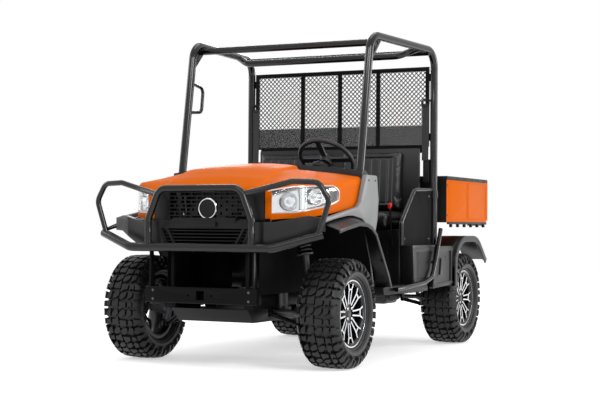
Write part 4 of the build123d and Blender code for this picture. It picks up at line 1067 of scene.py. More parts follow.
    def lamp_pieces(self) -> list[tuple[bpy.types.Object, str]]:
        """Makes the left lamp.

        Returns:
            The trim, the lens, the housing and the reflectors, each with its name.
        """
        made = []
        trim = self.corner_sheet("lamp_trim", -0.0008, 0.014)
        Bench.cut(trim, self.prism("cutter", -0.0008, (0.38, 0.74)), "INTERSECT")
        Bench.cut(trim, self.prism("cutter", -0.0085, (0.36, 0.76)), "DIFFERENCE")
        made.append((Bench.paint(Bench.smooth(trim), LAMP_TRIM), "lamp_trim"))
        lens = self.corner_sheet("lamp_lens", 0.002, 0.003)
        Bench.cut(lens, self.prism("cutter", -0.0088, (0.38, 0.74)), "INTERSECT")
        made.append((Bench.paint(Bench.smooth(lens), LENS), "lamp_lens"))
        back = self.corner_sheet("lamp_housing", 0.037, 0.003)
        Bench.cut(back, self.prism("cutter", 0.004, (0.30, 0.74)), "INTERSECT")
        wall = self.corner_sheet("lamp_wall", 0.007, 0.032)
        Bench.cut(wall, self.prism("cutter", 0.003, (0.30, 0.74)), "INTERSECT")
        Bench.cut(wall, self.prism("cutter", -0.004, (0.28, 0.76)), "DIFFERENCE")
        shell = Bench.join("lamp_housing", [Bench.paint(Bench.smooth(back), LAMP_CHROME),
                                            Bench.paint(Bench.smooth(wall), LAMP_DARK)])
        made.append((shell, "lamp_housing"))
        lamps = (((0.472, -1.310, 0.955), 0.046, (0.66, -0.75, 0.0)), ((0.576, -1.191, 0.986), 0.041, (0.86, -0.50, 0.0)))
        for index, (place, radius, way) in enumerate(lamps):
            bowl = Bench.lathe("bowl", [(-0.020, 0.010), (-0.016, radius * 0.55), (-0.007, radius * 0.85), (0.004, radius),
                                        (0.008, radius + 0.003), (0.004, radius + 0.006), (-0.009, radius * 0.92),
                                        (-0.019, radius * 0.60), (-0.024, 0.010)], 48)
            Bench.paint(Bench.smooth(bowl), LAMP_CHROME)
            bulb = Bench.lathe("bulb", [(-0.020, 0.0), (-0.020, 0.011), (-0.006, 0.012), (0.001, 0.009), (0.003, 0.0)], 32)
            Bench.paint(Bench.smooth(bulb, 60), LENS_WHITE)
            unit = Bench.join("reflector", [bowl, bulb])
            facing = Vector(way).to_track_quat("X", "Z").to_matrix().to_4x4()
            unit.data.transform(Matrix.Translation(place) @ facing)
            made.append((unit, f"lamp_reflector_{index + 1}"))
        return made

    def build(self, frame: FramePieces) -> None:
        """Makes the hood, its hinges and both lamps.

        Args:
            frame: Places pieces on their bodies.
        """
        hinges = Bench.from_node("hood", "hood_hinges")
        Bench.keep(hinges, lambda c: c.y > -0.7275 and abs(c.x) < 0.175 and c.z < 1.189)
        shell = Bench.join("hood_skin", [self.shell(), Bench.paint(Bench.smooth(hinges), ORANGE)])
        frame.place(shell, "hood")
        mirror = Matrix.Scale(-1, 4, (1, 0, 0))
        for piece, name in self.lamp_pieces():
            for side, matrix in (("left", Matrix.Identity(4)), ("right", mirror)):
                made = Bench.copy(piece, f"{name}_{side}", matrix)
                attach(made, "hood")
                if name == "lamp_housing":
                    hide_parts("headlamps")
            bpy.data.objects.remove(piece)


# ---------------------------------------------------------------- seats
@dataclass
class Seats:
    """Two padded cushions and two padded backs with sewn channels."""

    voxel: float = 0.006
    channel: float = 0.0075
    spacing: float = 0.062

    def pad(self, name: str, low: Vector, high: Vector, lean: float, back: bool) -> bpy.types.Object:
        """Blows up one block into a pad and sews its channels.

        Args:
            name: The piece's name.
            low: The space's lowest corner.
            high: The space's highest corner.
            lean: How far the foot of a back stands forward of its top.
            back: Whether it stands upright.

        Returns:
            The pad.
        """
        inset = Vector((0.010, 0.010, 0.008))
        base = Bench.box(name, tuple(low + inset), tuple(high - inset))
        if back:
            for vertex in base.data.vertices:
                if vertex.co.z < (low.z + high.z) / 2 and vertex.co.y < (low.y + high.y) / 2:
                    vertex.co.y = low.y + 0.006
                elif vertex.co.y < (low.y + high.y) / 2:
                    vertex.co.y = low.y + lean
        Bench.bevel(base, 0.030 if not back else 0.020, 4, 30)
        Bench.modify(base, "REMESH", mode="VOXEL", voxel_size=self.voxel)
        self.inflate(base, 0.010 if back else 0.014)
        self.sew(base, low, high, back)
        Bench.modify(base, "SUBSURF", levels=1, render_levels=1)
        for vertex in base.data.vertices:
            for axis in range(3):
                vertex.co[axis] = min(max(vertex.co[axis], low[axis] - 0.006), high[axis] + 0.006)
            if not back:
                vertex.co.z = max(vertex.co.z, low.z + 0.0004)
            else:
                vertex.co.y = min(vertex.co.y, high.y - 0.0004)
        Bench.smooth(base, 80)
        return Bench.paint(base, VINYL)

    def inflate(self, pad: bpy.types.Object, cap: float) -> None:
        """Swells a pad with the cloth solver and caps how far its points go.

        Args:
            pad: The pad.
            cap: The furthest that a point may move.
        """
        rest = [v.co.copy() for v in pad.data.vertices]
        Bench.only(pad)
        cloth = pad.modifiers.new("cloth", "CLOTH")
        cloth.settings.use_pressure = True
        cloth.settings.uniform_pressure_force = 4.0
        cloth.settings.effector_weights.gravity = 0.0
        cloth.settings.quality = 4
        cloth.point_cache.frame_start, cloth.point_cache.frame_end = 1, 14
        for frame in range(1, 15):
            bpy.context.scene.frame_set(frame)
        bpy.ops.object.modifier_apply(modifier=cloth.name)
        bpy.context.scene.frame_set(1)
        for vertex, place in zip(pad.data.vertices, rest):
            move = vertex.co - place
            if move.length > cap:
                vertex.co = place + move * (cap / move.length)

    def sew(self, pad: bpy.types.Object, low: Vector, high: Vector, back: bool) -> None:
        """Presses the sewn channels and the piped border into the pad's face.

        Args:
            pad: The pad.
            low: The space's lowest corner.
            high: The space's highest corner.
            back: Whether it stands upright.
        """
        size = high - low
        inner = Vector((size.x / 2 - 0.075, 0, 0)).x
        centre = (low + high) / 2
        for vertex in pad.data.vertices:
            x = vertex.co.x - centre.x
            along = (vertex.co.z - centre.z, size.z) if back else (vertex.co.y - centre.y, size.y)
            facing = (centre.y - vertex.co.y) / size.y if back else (vertex.co.z - centre.z) / size.z
            if facing < 0.12:
                continue
            depth = 0.0
            inside = abs(x) < inner and abs(along[0]) < along[1] / 2 - 0.055
            if inside:
                offset = abs((x / self.spacing) - round(x / self.spacing)) * self.spacing
                depth = self.channel * math.exp(-(offset / 0.0055) ** 2) + 0.002
            edge = min(abs(abs(x) - inner), 1.0)
            if abs(along[0]) < along[1] / 2 - 0.050:
                depth = max(depth, 0.006 * math.exp(-(edge / 0.005) ** 2))
            ends = abs(abs(along[0]) - (along[1] / 2 - 0.055))
            if abs(x) < inner + 0.004:
                depth = max(depth, 0.006 * math.exp(-(ends / 0.005) ** 2))
            if back:
                vertex.co.y += depth
            else:
                vertex.co.z -= depth

    def build(self, frame: FramePieces) -> None:
        """Makes the pads in the spaces that their solids hold.

        Args:
            frame: Places pieces on their bodies.
        """
        low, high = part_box("seat_cushions")
        for side, x in (("left", (0.032, 0.585)), ("right", (-0.585, -0.032))):
            pad = self.pad(f"seat_cushion_{side}", Vector((x[0], low.y, low.z)), Vector((x[1], high.y, high.z)), 0, False)
            frame.place(pad, "seat_cushions")
        low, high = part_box("seat_backs")
        for side, x in (("left", (0.044, 0.505)), ("right", (-0.585, -0.032))):
            pad = self.pad(f"seat_back_{side}", Vector((x[0], low.y, low.z)), Vector((x[1], high.y, high.z)), 0.038, True)
            frame.place(pad, "seat_backs")


# ---------------------------------------------------------------- springs
@dataclass
class Springs:
    """Coil springs round the four struts."""

    wire: float = 0.0062
    turns: float = 6.5

    def coil(self, name: str, start: Vector, end: Vector, radius: float) -> bpy.types.Object:
        """Winds one spring between two points.

        Args:
            name: The piece's name.
            start: Its lower end.
            end: Its upper end.
            radius: The coil's radius to the wire's middle.

        Returns:
            The spring.
        """
        axis = end - start
        turn = axis.to_track_quat("Z", "Y").to_matrix()
        steps = int(self.turns * 20)
        data = bpy.data.curves.new(name, "CURVE")
        data.dimensions = "3D"
        data.bevel_depth, data.bevel_resolution = self.wire, 3
        data.use_fill_caps = True
        spline = data.splines.new("POLY")
        spline.points.add(steps)
        for i in range(steps + 1):
            t = i / steps
            rise = max(0.0, min(1.0, (t - 0.06) / 0.88))
            local = Vector((radius * math.cos(math.tau * self.turns * t), radius * math.sin(math.tau * self.turns * t),
                            axis.length * rise))
            spline.points[i].co = (*(start + turn @ local), 1)
        curve = bpy.data.objects.new(name, data)
        bpy.context.scene.collection.objects.link(curve)
        Bench.only(curve)
        bpy.ops.object.convert(target="MESH")
        return Bench.paint(Bench.smooth(Bench.named(name), 60), SPRING)

    def body(self, name: str, start: Vector, end: Vector, profile: list[tuple[float, float]]) -> bpy.types.Object:
        """Turns a damper's body about its own line.

        Args:
            name: The piece's name.
            start: Its lower end.
            end: Its upper end.
            profile: Share of the length and radius, from its lower end.

        Returns:
            The body.
        """
        length = (end - start).length
        closed = [(s * length, r) for s, r in profile]
        body = Bench.lathe(name, [(closed[0][0], 0.0)] + closed + [(closed[-1][0], 0.0)], 32)
        turn = (end - start).to_track_quat("X", "Z").to_matrix().to_4x4()
        body.data.transform(Matrix.Translation(start) @ turn)
        Bench.bevel(body, 0.001, 2)
        return Bench.smooth(body)

    def build(self, frame: FramePieces) -> None:
        """Makes the front struts' upper parts and the rear shocks.

        Args:
            frame: Places pieces on their bodies.
        """
        def kingpin(z: float) -> Vector:
            """A point on the left steering axis."""
            return Vector((0.505 - 0.100 * (z - 0.222) / 0.648, -1.0225, z))

        parts = [Bench.paint(self.body("damper", kingpin(0.590), kingpin(0.869), [
            (0.0, 0.009), (0.255, 0.009), (0.26, 0.030), (0.29, 0.052), (0.305, 0.052), (0.31, 0.024), (0.93, 0.024),
            (0.935, 0.050), (0.985, 0.052), (1.0, 0.030)]), FRAME_BLACK),
            self.coil("coil", kingpin(0.680), kingpin(0.846), 0.0405)]
        low, high = Vector((0.428, 1.0225, 0.4055)), Vector((0.322, 1.0225, 0.7155))
        parts += [Bench.paint(self.body("damper", low, high, [
            (0.0, 0.014), (0.06, 0.014), (0.07, 0.022), (0.30, 0.022), (0.31, 0.043), (0.335, 0.043), (0.34, 0.017),
            (0.88, 0.017), (0.885, 0.042), (0.915, 0.042), (0.93, 0.016), (0.965, 0.016)]), FRAME_BLACK),
            self.coil("coil", low.lerp(high, 0.345), low.lerp(high, 0.875), 0.0350)]
        left = Bench.join("springs_left", parts)
        right = Bench.copy(left, "springs_right", Matrix.Scale(-1, 4, (1, 0, 0)))
        for piece in (left, right):
            frame.place(piece, "struts")


# ---------------------------------------------------------------- arches
@dataclass
class Arches:
    """Rolled lips round the rear arches and the bare badge plate."""

    rear: tuple[tuple[float, float], ...] = ((0.652, 0.415), (0.652, 0.640), (0.800, 0.757), (1.130, 0.757),
                                             (1.328, 0.588))
    badge: Point = (0.006, -1.4045, 0.915)

    @staticmethod
    def rounded(points: tuple[tuple[float, float], ...], radius: float, steps: int = 10) -> list[Vector]:
        """Rounds the corners of a line.

        Args:
            points: The line's corners.
            radius: The rounding's radius.
            steps: How many runs each corner gets.

        Returns:
            The rounded line.
        """
        line = [Vector(points[0])]
        for i in range(1, len(points) - 1):
            corner = Vector(points[i])
            back, ahead = (Vector(points[i - 1]) - corner).normalized(), (Vector(points[i + 1]) - corner).normalized()
            half = back.angle(ahead) / 2
            reach = min(radius / math.tan(half), (Vector(points[i - 1]) - corner).length * 0.49,
                        (Vector(points[i + 1]) - corner).length * 0.49)
            start, end = corner + back * reach, corner + ahead * reach
            for k in range(steps + 1):
                t = k / steps
                line.append(start * (1 - t) ** 2 + corner * 2 * t * (1 - t) + end * t ** 2)
        return line + [Vector(points[-1])]

    def strip(self, name: str, line: list[Vector], inward: float, x: tuple[float, float]) -> bpy.types.Object:
        """Makes a flat band inside a line, between two x.

        Args:
            name: The piece's name.
            line: The outer line as y and z.
            inward: The band's width, towards the wheel.
            x: Its lowest and highest x.

        Returns:
            The band.
        """
        inner = []
        for i, point in enumerate(line):
            along = (line[min(i + 1, len(line) - 1)] - line[max(i - 1, 0)]).normalized()
            inner.append(point + Vector((along.y, -along.x)) * inward)
        bpy.ops.object.select_all(action="DESELECT")
        bpy.ops.mesh.primitive_grid_add(x_subdivisions=len(line) - 1, y_subdivisions=1, size=2)
        band = Bench.named(name)
        for vertex in band.data.vertices:
            place = round((vertex.co.x + 1) / 2 * (len(line) - 1))
            point = (line if vertex.co.y > 0 else inner)[place]
            vertex.co = (x[0], point.x, point.y)
        Bench.only(band)
        bpy.ops.object.mode_set(mode="EDIT")
        bpy.ops.mesh.select_all(action="SELECT")
        bpy.ops.mesh.extrude_region_move(TRANSFORM_OT_translate={"value": (x[1] - x[0], 0, 0)})
        bpy.ops.object.mode_set(mode="OBJECT")
        return Bench.outward(band)

    def build(self, frame: FramePieces) -> None:
        """Makes the lips and the badge plate.

        Args:
            frame: Places pieces on their bodies.
        """
        line = self.rounded(self.rear, 0.260, 14)
        shell = self.strip("arch_shell", line, 0.003, (0.590, 0.766))
        Bench.bevel(shell, 0.0008, 1, 50)
        lip = self.strip("arch_lip", line, 0.040, (0.756, 0.768))
        Bench.bevel(lip, 0.005, 4, 50)
        roll = self.strip("arch_roll", line, 0.012, (0.735, 0.764))
        Bench.bevel(roll, 0.004, 3, 50)
        stay = Bench.bevel(Bench.box("arch_stay", (0.380, 1.090, 0.732), (0.600, 1.120, 0.745)), 0.002)
        left = Bench.join("rear_arch_left", [Bench.smooth(part, 50) for part in (shell, lip, roll, stay)])
        Bench.paint(left, CHARCOAL)
        right = Bench.copy(left, "rear_arch_right", Matrix.Scale(-1, 4, (1, 0, 0)))
        for piece in (left, right):
            frame.place(piece, "rear_fenders")
        plate = Bench.lathe("badge_plate", [(0.0, 0.0), (0.0, 0.060), (0.010, 0.060), (0.013, 0.057), (0.013, 0.050),
                                            (0.0095, 0.049), (0.0095, 0.0)], 64)
        Bench.bevel(plate, 0.0008)
        plate.data.transform(Matrix.Translation(self.badge) @ Matrix.Rotation(math.radians(-90), 4, "Z"))
        Bench.paint(Bench.smooth(plate), BLACK_PLASTIC)
        ring = Bench.lathe("badge_ring", [(0.011, 0.0605), (0.0145, 0.0575), (0.0145, 0.0535), (0.011, 0.051)], 64)
        ring.data.transform(Matrix.Translation(self.badge) @ Matrix.Rotation(math.radians(-90), 4, "Z"))
        Bench.paint(Bench.smooth(Bench.outward(ring)), CHROME)
        Fittings.finish(Bench.join("badge_plate", [plate, ring]), "chassis", "plastic_black", None)


# ---------------------------------------------------------------- small fittings
@dataclass
class Fittings:
    """Bolts, liners, levers, belts, instruments and trim that the frame's nodes leave out."""

    bolt_radius: float = 0.0055

    def bolt(self, place: Point, facing: Point, radius: float | None = None) -> bpy.types.Object:
        """Makes one flanged hexagon bolt head.

        Args:
            place: Where its flange sits.
            facing: Which way its head points.
            radius: The head's radius, or None for the usual one.

        Returns:
            The bolt head.
        """
        r = radius or self.bolt_radius
        flange = Bench.lathe("flange", [(-0.001, 0.0), (-0.001, r * 1.35), (0.0012, r * 1.35),
                                        (0.002, r * 1.1), (0.002, 0.0)], 20)
        head = Bench.bar("head", (0.0, 0, 0), (r * 0.85, 0, 0), r, 6)
        Bench.bevel(head, r * 0.14)
        made = Bench.join("bolt", [flange, head])
        turn = Vector(facing).to_track_quat("X", "Z").to_matrix().to_4x4()
        made.data.transform(Matrix.Translation(place) @ turn)
        return Bench.smooth(made)

    def bolts(self) -> None:
        """Sets bolt heads on the beam, posts, bed and arches."""
        places: list[tuple[Point, Point]] = []
        for x in (-0.312, 0.312):
            places += [((x, -1.4862, 0.445), (0, -1, 0)), ((x, -1.4862, 0.395), (0, -1, 0))]
        for side in (1, -1):
            places += [((side * 0.742, y, z), (side, 0, 0)) for y, z in
                       ((-0.040, 0.470), (0.170, 0.485), (-0.060, 0.680), (0.285, 0.682))]
            places += [((side * 0.750, y, z), (side, 0, 0)) for y, z in
                       ((0.350, 0.672), (0.630, 0.672), (0.300, 0.436), (0.628, 0.446))]
            places += [((side * 0.715, y, 0.725), (side, 0, 0)) for y in (0.410, 0.440)]
            places += [((side * 0.691, y, z), (side, 0, 0)) for y, z in
                       ((0.330, 0.740), (-0.100, 0.740), (0.330, 1.020))]
            places += [((side * 0.696, y, z), (side, 0, 0)) for y, z in ((-0.590, 1.095), (-0.690, 1.095))]
            places += [((side * 0.630, y, z), (side, 0, 0)) for y, z in ((-0.500, 1.880), (-0.400, 1.975))]
        made = Bench.join("bolt_heads", [self.bolt(p, f) for p, f in places])
        self.finish(made, "chassis", "bare_steel", BOLT)
        bed = []
        for side in (1, -1):
            for i in range(6):
                bed.append(self.bolt((side * 0.738, 0.700 + i * 0.13, 1.152), (side, 0, 0), 0.005))
            bed.append(self.bolt((side * 0.733, 0.575, 0.900), (side, 0, 0), 0.006))
            bed.append(self.bolt((side * 0.733, 0.575, 1.100), (side, 0, 0), 0.006))
        self.finish(Bench.join("bed_bolt_heads", bed), "bed", "bare_steel", BOLT)

    def liners(self) -> None:
        """Closes the front wheel arches towards the chassis with black liners."""
        parts = []
        for side in (1, -1):
            x0, x1 = sorted((side * 0.300, side * 0.304))
            plate = Bench.box("liner", (x0, -1.340, 0.424), (x1, -0.560, 0.866))
            parts.append(Bench.bevel(plate, 0.001))
            line = [(-0.712, 0.845), (-0.690, 0.780), (-0.600, 0.606), (-0.563, 0.4525)]
            for (y0, z0), (y1, z1) in zip(line, line[1:]):
                outline = [(y0, z0), (y1, z1), (y1 + 0.004, z1), (y0 + 0.004, z0)]
                leaf = Bench.slab("liner", outline, 0.304, 0.666)
                leaf.data.transform(Matrix(((0, 0, side, 0), (1, 0, 0, 0), (0, 1, 0, 0), (0, 0, 0, 1))))
                Bench.outward(leaf)
                parts.append(leaf)
        made = Bench.join("arch_liners", parts)
        self.finish(Bench.smooth(made), "chassis", "plastic_black", LINER)

    def belts(self) -> None:
        """Hangs a flat belt on each rear post from its retractor to the upper guide."""
        parts = []
        for side in (1, -1):
            strap = Bench.box("strap", (-0.0235, -0.0007, 0.0), (0.0235, 0.0007, 0.380))
            Bench.modify(strap, "SUBSURF", subdivision_type="SIMPLE", levels=4, render_levels=4)
            for vertex in strap.data.vertices:
                t = vertex.co.z / 0.380
                vertex.co.y += 0.006 * math.sin(math.pi * t)
            strap.data.transform(Matrix.Translation((side * 0.640, 0.392, 1.262)))
            parts.append(Bench.paint(Bench.smooth(strap), WEBBING))
            guide = Bench.lathe("guide", [(-0.004, 0.020), (-0.004, 0.030), (0.004, 0.030), (0.004, 0.020)], 32)
            Bench.bevel(guide, 0.001)
            guide.data.transform(Matrix.Translation((side * 0.640, 0.395, 1.648)) @ Matrix.Rotation(math.pi / 2, 4, "Z"))
            parts.append(Bench.paint(Bench.smooth(guide), BLACK_PLASTIC))
            arm = Bench.bar("arm", (side * 0.640, 0.397, 1.664), (side * 0.668, 0.416, 1.664), 0.007, 16)
            parts.append(Bench.paint(Bench.smooth(arm), FRAME_BLACK))
        self.finish(Bench.join("seat_belts", parts), "chassis", "plastic_black", None)

    def levers(self) -> None:
        """Adds the brake lever with its red knob, the range lever and the pedals."""
        parts = []
        stick = Bench.bar("stick", (0.600, -0.075, 0.700), (0.612, -0.150, 0.930), 0.006, 16)
        parts.append(Bench.paint(Bench.smooth(stick), FRAME_BLACK))
        knob = Bench.lathe("knob", [(-0.020, 0.0), (-0.020, 0.006), (-0.013, 0.0105), (0.003, 0.0140),
                                    (0.015, 0.012), (0.020, 0.005), (0.021, 0.0)], 32)
        knob.data.transform(Matrix.Translation((0.613, -0.156, 0.950)) @ Matrix.Rotation(math.radians(-80), 4, "Y"))
        parts.append(Bench.paint(Bench.smooth(knob, 60), RED_KNOB))
        rod = Bench.bar("stick", (0.060, -0.348, 1.000), (0.060, -0.270, 1.130), 0.006, 16)
        parts.append(Bench.paint(Bench.smooth(rod), STEEL))
        ball = Bench.lathe("knob", [(-0.018, 0.0), (-0.017, 0.009), (-0.006, 0.017), (0.008, 0.018),
                                    (0.019, 0.010), (0.022, 0.0)], 32)
        ball.data.transform(Matrix.Translation((0.060, -0.262, 1.142)) @ Matrix.Rotation(math.radians(-60), 4, "Y"))
        parts.append(Bench.paint(Bench.smooth(ball, 60), GRIP))
        for x, width in ((0.200, 0.045), (0.330, 0.070)):
            pad = Bench.box("pedal", (x - width / 2, -0.005, -0.034), (x + width / 2, 0.005, 0.034))
            Bench.bevel(pad, 0.003)
            ribs = [Bench.bevel(Bench.box("rib", (x - width / 2 + 0.004, 0.004, z - 0.003),
                                            (x + width / 2 - 0.004, 0.008, z + 0.003)), 0.001)
                    for z in (-0.024, -0.012, 0.0, 0.012, 0.024)]
            pad = Bench.join("pedal", [pad, *ribs])
            pad.data.transform(Matrix.Translation((0, -0.470, 0.560)) @ Matrix.Rotation(math.radians(-38), 4, "X"))
            parts.append(Bench.paint(Bench.smooth(pad), GRIP))
            arm = Bench.bar("arm", (x, -0.474, 0.575), (x, -0.560, 0.700), 0.006, 16)
            parts.append(Bench.paint(Bench.smooth(arm), FRAME_BLACK))
        self.finish(Bench.join("controls", parts), "chassis", "plastic_black", None)

    def instruments(self) -> None:
        """Sets a round gauge with a blank scale and switches into the dash."""
        parts = []
        tilt = Vector((0.0, 0.72, 0.69)).to_track_quat("X", "Z").to_matrix().to_4x4()
        spot = Matrix.Translation((0.275, -0.486, 1.176)) @ tilt
        pod = Bench.lathe("pod", [(-0.030, 0.0), (-0.030, 0.060), (0.010, 0.056), (0.016, 0.052),
                                  (0.014, 0.046), (0.006, 0.044), (0.006, 0.0)], 64)
        Bench.bevel(pod, 0.0012)
        parts.append(Bench.paint(Bench.smooth(pod), BLACK_PLASTIC))
        ticks = [Bench.box("tick", (0.0062, -0.0008, 0.034), (0.0068, 0.0008, 0.041)) for _ in range(21)]
        for i, tick in enumerate(ticks):
            tick.data.transform(Matrix.Rotation(math.radians(-130 + 13 * i), 4, "X"))
            parts.append(Bench.paint(tick, LENS_WHITE))
        needle = Bench.box("needle", (0.0068, -0.0009, -0.006), (0.0078, 0.0009, 0.032))
        needle.data.transform(Matrix.Rotation(math.radians(-118), 4, "X"))
        parts.append(Bench.paint(needle, RED_KNOB))
        glass = Bench.lathe("glass", [(0.0105, 0.0), (0.0105, 0.045), (0.0115, 0.045), (0.0120, 0.0)], 48)
        parts.append(Bench.paint(Bench.smooth(glass), LENS))
        for part in parts:
            part.data.transform(spot)
        for x in (-0.020, 0.020, 0.420, 0.460):
            switch = Bench.box("switch", (x - 0.013, -0.006, -0.020), (x + 0.013, 0.006, 0.020))
            Bench.bevel(switch, 0.002)
            switch.data.transform(Matrix.Translation((0, -0.338, 1.066)) @ Matrix.Rotation(math.radians(10), 4, "X"))
            parts.append(Bench.paint(Bench.smooth(switch), BLACK_PLASTIC))
        self.finish(Bench.join("instruments", parts), "chassis", "plastic_black", None)

    def bed_trim(self) -> None:
        """Presses plain framed fields on the bed's sides, and adds latches to the gate."""
        parts = []
        for side in (1, -1):
            for y0, y1 in ((0.610, 0.985), (1.005, 1.395)):
                for z0, z1 in ((0.872, 0.878), (1.122, 1.128)):
                    x0, x1 = sorted((side * 0.7325, side * 0.7352))
                    parts.append(Bench.bevel(Bench.box("bead", (x0, y0, z0), (x1, y1, z1)), 0.0012, 3))
                for y in (y0, y1 - 0.006):
                    x0, x1 = sorted((side * 0.7325, side * 0.7352))
                    parts.append(Bench.bevel(Bench.box("bead", (x0, y, 0.872), (x1, y + 0.006, 1.128)), 0.0012, 3))
        made = Bench.join("bed_pressings", parts)
        self.finish(Bench.smooth(made), "bed", "body_orange", ORANGE)
        latches = []
        for side in (1, -1):
            handle = Bench.box("latch", (side * 0.600 - 0.045, 1.4455, 1.105), (side * 0.600 + 0.045, 1.4580, 1.128))
            latches.append(Bench.bevel(handle, 0.004, 3))
            plate = Bench.box("latch", (side * 0.600 - 0.060, 1.4435, 1.090), (side * 0.600 + 0.060, 1.4475, 1.140))
            latches.append(Bench.bevel(plate, 0.0015))
        self.finish(Bench.smooth(Bench.join("gate_latches", latches)), "tailgate", "plastic_black", BLACK_PLASTIC)

    @staticmethod
    def finish(piece: bpy.types.Object, body: str, slot: str, finish: Finish | None) -> None:
        """Paints a piece where a finish is given and lets it ride on a body.

        Args:
            piece: The piece.
            body: The body it rides on.
            slot: The record's material slot; not used.
            finish: Its finish, or None where its parts are painted already.
        """
        if finish:
            Bench.paint(piece, finish)
        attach(piece, body)
        LOG.info("%s on %s", piece.name, body)

    def build(self) -> None:
        """Makes every fitting."""
        self.bolts()
        self.liners()
        self.belts()
        self.levers()
        self.instruments()
        self.bed_trim()


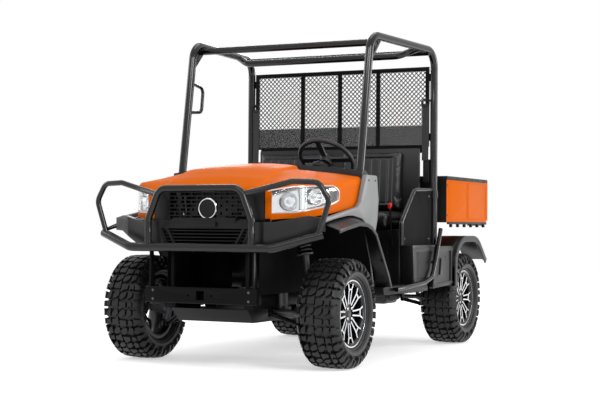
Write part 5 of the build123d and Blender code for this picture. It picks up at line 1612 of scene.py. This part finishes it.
# ---------------------------------------------------------------- studio
@dataclass
class Studio:
    """Camera, lamps, floor and surroundings."""

    eye: Point = (3.9206, -8.2502, 0.8208)
    yaw: float = 0.4622
    pitch: float = -0.0138
    roll: float = 0.0069
    lens: float = 82.59
    shift: tuple[float, float] = (0.0210, 0.0109)

    def camera(self) -> None:
        """Adds the camera at its measured place and turn."""
        ahead = Vector((-math.sin(self.yaw) * math.cos(self.pitch), math.cos(self.yaw) * math.cos(self.pitch),
                        -math.sin(self.pitch)))
        level = ahead.cross(Vector((0, 0, 1))).normalized()
        upright = level.cross(ahead)
        right = level * math.cos(self.roll) + upright * math.sin(self.roll)
        up = upright * math.cos(self.roll) - level * math.sin(self.roll)
        data = bpy.data.cameras.new("camera")
        data.lens, data.sensor_width = self.lens, 36.0
        data.shift_x, data.shift_y = self.shift
        data.clip_end = 200.0
        camera = bpy.data.objects.new("camera", data)
        bpy.context.scene.collection.objects.link(camera)
        turn = Matrix((right, up, -ahead)).transposed().to_4x4()
        camera.matrix_world = Matrix.Translation(self.eye) @ turn
        bpy.context.scene.camera = camera

    def lamp(self, name: str, place: Point, size: tuple[float, float], power: float) -> None:
        """Adds one soft box that faces the vehicle's middle.

        Args:
            name: The lamp's name.
            place: Where it stands.
            size: Its width and height.
            power: Its power in watts.
        """
        data = bpy.data.lights.new(name, "AREA")
        data.shape = "RECTANGLE"
        data.size, data.size_y = size
        data.energy = power
        lamp = bpy.data.objects.new(name, data)
        bpy.context.scene.collection.objects.link(lamp)
        lamp.location = place
        lamp.rotation_mode = "QUATERNION"
        lamp.rotation_quaternion = (Vector(place) - Vector((0, 0, 0.8))).to_track_quat("Z", "Y")

    def floor(self) -> None:
        """Lays a wide white floor that keeps the vehicle's shadow."""
        bpy.ops.object.select_all(action="DESELECT")
        bpy.ops.mesh.primitive_circle_add(vertices=96, radius=70, fill_type="NGON", location=(0, 0, -0.0005))
        floor = Bench.settle(Bench.named("studio_floor"))
        made = bpy.data.materials.new("studio_floor")
        made.use_nodes = True
        tree = made.node_tree
        shader = tree.nodes["Principled BSDF"]
        shader.inputs["Base Color"].default_value = (0.80, 0.80, 0.80, 1)
        shader.inputs["Roughness"].default_value = 0.9
        shader.inputs["Specular IOR Level"].default_value = 0.0
        glow = tree.nodes.new("ShaderNodeEmission")
        glow.inputs["Strength"].default_value = 0.51
        path = tree.nodes.new("ShaderNodeLightPath")
        seen = tree.nodes.new("ShaderNodeMath")
        seen.operation = "MAXIMUM"
        tree.links.new(path.outputs["Is Camera Ray"], seen.inputs[0])
        tree.links.new(path.outputs["Is Transmission Ray"], seen.inputs[1])
        dark = tree.nodes.new("ShaderNodeMixShader")
        black = tree.nodes.new("ShaderNodeEmission")
        black.inputs["Strength"].default_value = 0.0
        both = tree.nodes.new("ShaderNodeAddShader")
        out = tree.nodes["Material Output"]
        glossy = tree.nodes.new("ShaderNodeMath")
        glossy.operation = "MAXIMUM"
        tree.links.new(seen.outputs["Value"], glossy.inputs[0])
        tree.links.new(path.outputs["Is Glossy Ray"], glossy.inputs[1])
        tree.links.new(glossy.outputs["Value"], dark.inputs["Fac"])
        tree.links.new(black.outputs["Emission"], dark.inputs[1])
        tree.links.new(glow.outputs["Emission"], dark.inputs[2])
        tree.links.new(shader.outputs["BSDF"], both.inputs[0])
        tree.links.new(dark.outputs["Shader"], both.inputs[1])
        tree.links.new(both.outputs["Shader"], out.inputs["Surface"])
        floor.data.materials.append(made)

    def surroundings(self) -> None:
        """Makes the world pale, and white where the camera or a glossy ray sees it."""
        world = bpy.data.worlds.new("studio")
        bpy.context.scene.world = world
        world.use_nodes = True
        tree = world.node_tree
        back = tree.nodes["Background"]
        back.inputs["Color"].default_value = (1, 1, 1, 1)
        path = tree.nodes.new("ShaderNodeLightPath")
        seen = tree.nodes.new("ShaderNodeMath")
        seen.operation = "MAXIMUM"
        tree.links.new(path.outputs["Is Camera Ray"], seen.inputs[0])
        tree.links.new(path.outputs["Is Transmission Ray"], seen.inputs[1])
        level = tree.nodes.new("ShaderNodeMapRange")
        level.inputs["To Min"].default_value = 0.62
        level.inputs["To Max"].default_value = 1.0
        glossy = tree.nodes.new("ShaderNodeMath")
        glossy.operation = "MAXIMUM"
        tree.links.new(seen.outputs["Value"], glossy.inputs[0])
        tree.links.new(path.outputs["Is Glossy Ray"], glossy.inputs[1])
        tree.links.new(glossy.outputs["Value"], level.inputs["Value"])
        tree.links.new(level.outputs["Result"], back.inputs["Strength"])

    def build(self) -> None:
        """Sets up the whole studio."""
        bpy.context.scene.view_settings.view_transform = "Standard"
        self.camera()
        self.floor()
        self.surroundings()
        self.lamp("key", (5.5, -4.0, 4.5), (2.0, 2.0), 170)
        self.lamp("fill", (-7.0, -1.5, 3.5), (2.0, 2.5), 80)
        self.lamp("top", (0.0, 0.8, 6.5), (3.0, 4.5), 90)
        self.lamp("side", (6.6, 4.6, 2.4), (2.6, 2.2), 190)
        self.lamp("rear", (-3.5, 6.5, 3.5), (2.5, 2.0), 100)
        self.lamp("strip_high", (1.0, -5.5, 4.4), (5.0, 0.28), 55)
        self.lamp("strip_side", (6.4, -1.6, 1.6), (0.28, 3.6), 50)


def main() -> None:
    """Builds the studio and every sub-assembly in order."""
    logging.basicConfig(level=logging.INFO, format="%(message)s")
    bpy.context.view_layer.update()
    Studio().build()
    frame = FramePieces(left_out={"hood", "headlamps", "seat_cushions", "seat_backs", "struts", "rear_screen",
                                  "rear_fenders"})
    frame.build()
    Hood().build(frame)
    Wheels().build(frame)
    Seats().build(frame)
    Springs().build(frame)
    RearScreen().build(frame)
    Arches().build(frame)
    Fittings().build()


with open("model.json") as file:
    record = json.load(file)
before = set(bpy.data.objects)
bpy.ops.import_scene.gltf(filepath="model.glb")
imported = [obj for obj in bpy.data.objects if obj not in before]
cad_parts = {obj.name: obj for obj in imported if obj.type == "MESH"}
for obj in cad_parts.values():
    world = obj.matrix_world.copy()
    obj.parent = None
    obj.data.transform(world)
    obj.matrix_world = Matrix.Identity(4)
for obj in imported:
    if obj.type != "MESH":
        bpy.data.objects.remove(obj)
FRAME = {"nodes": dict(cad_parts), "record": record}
SCREEN_MIDDLE_Y = (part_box("rear_screen")[0].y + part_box("rear_screen")[1].y) / 2

if __name__ == "__main__":
    main()
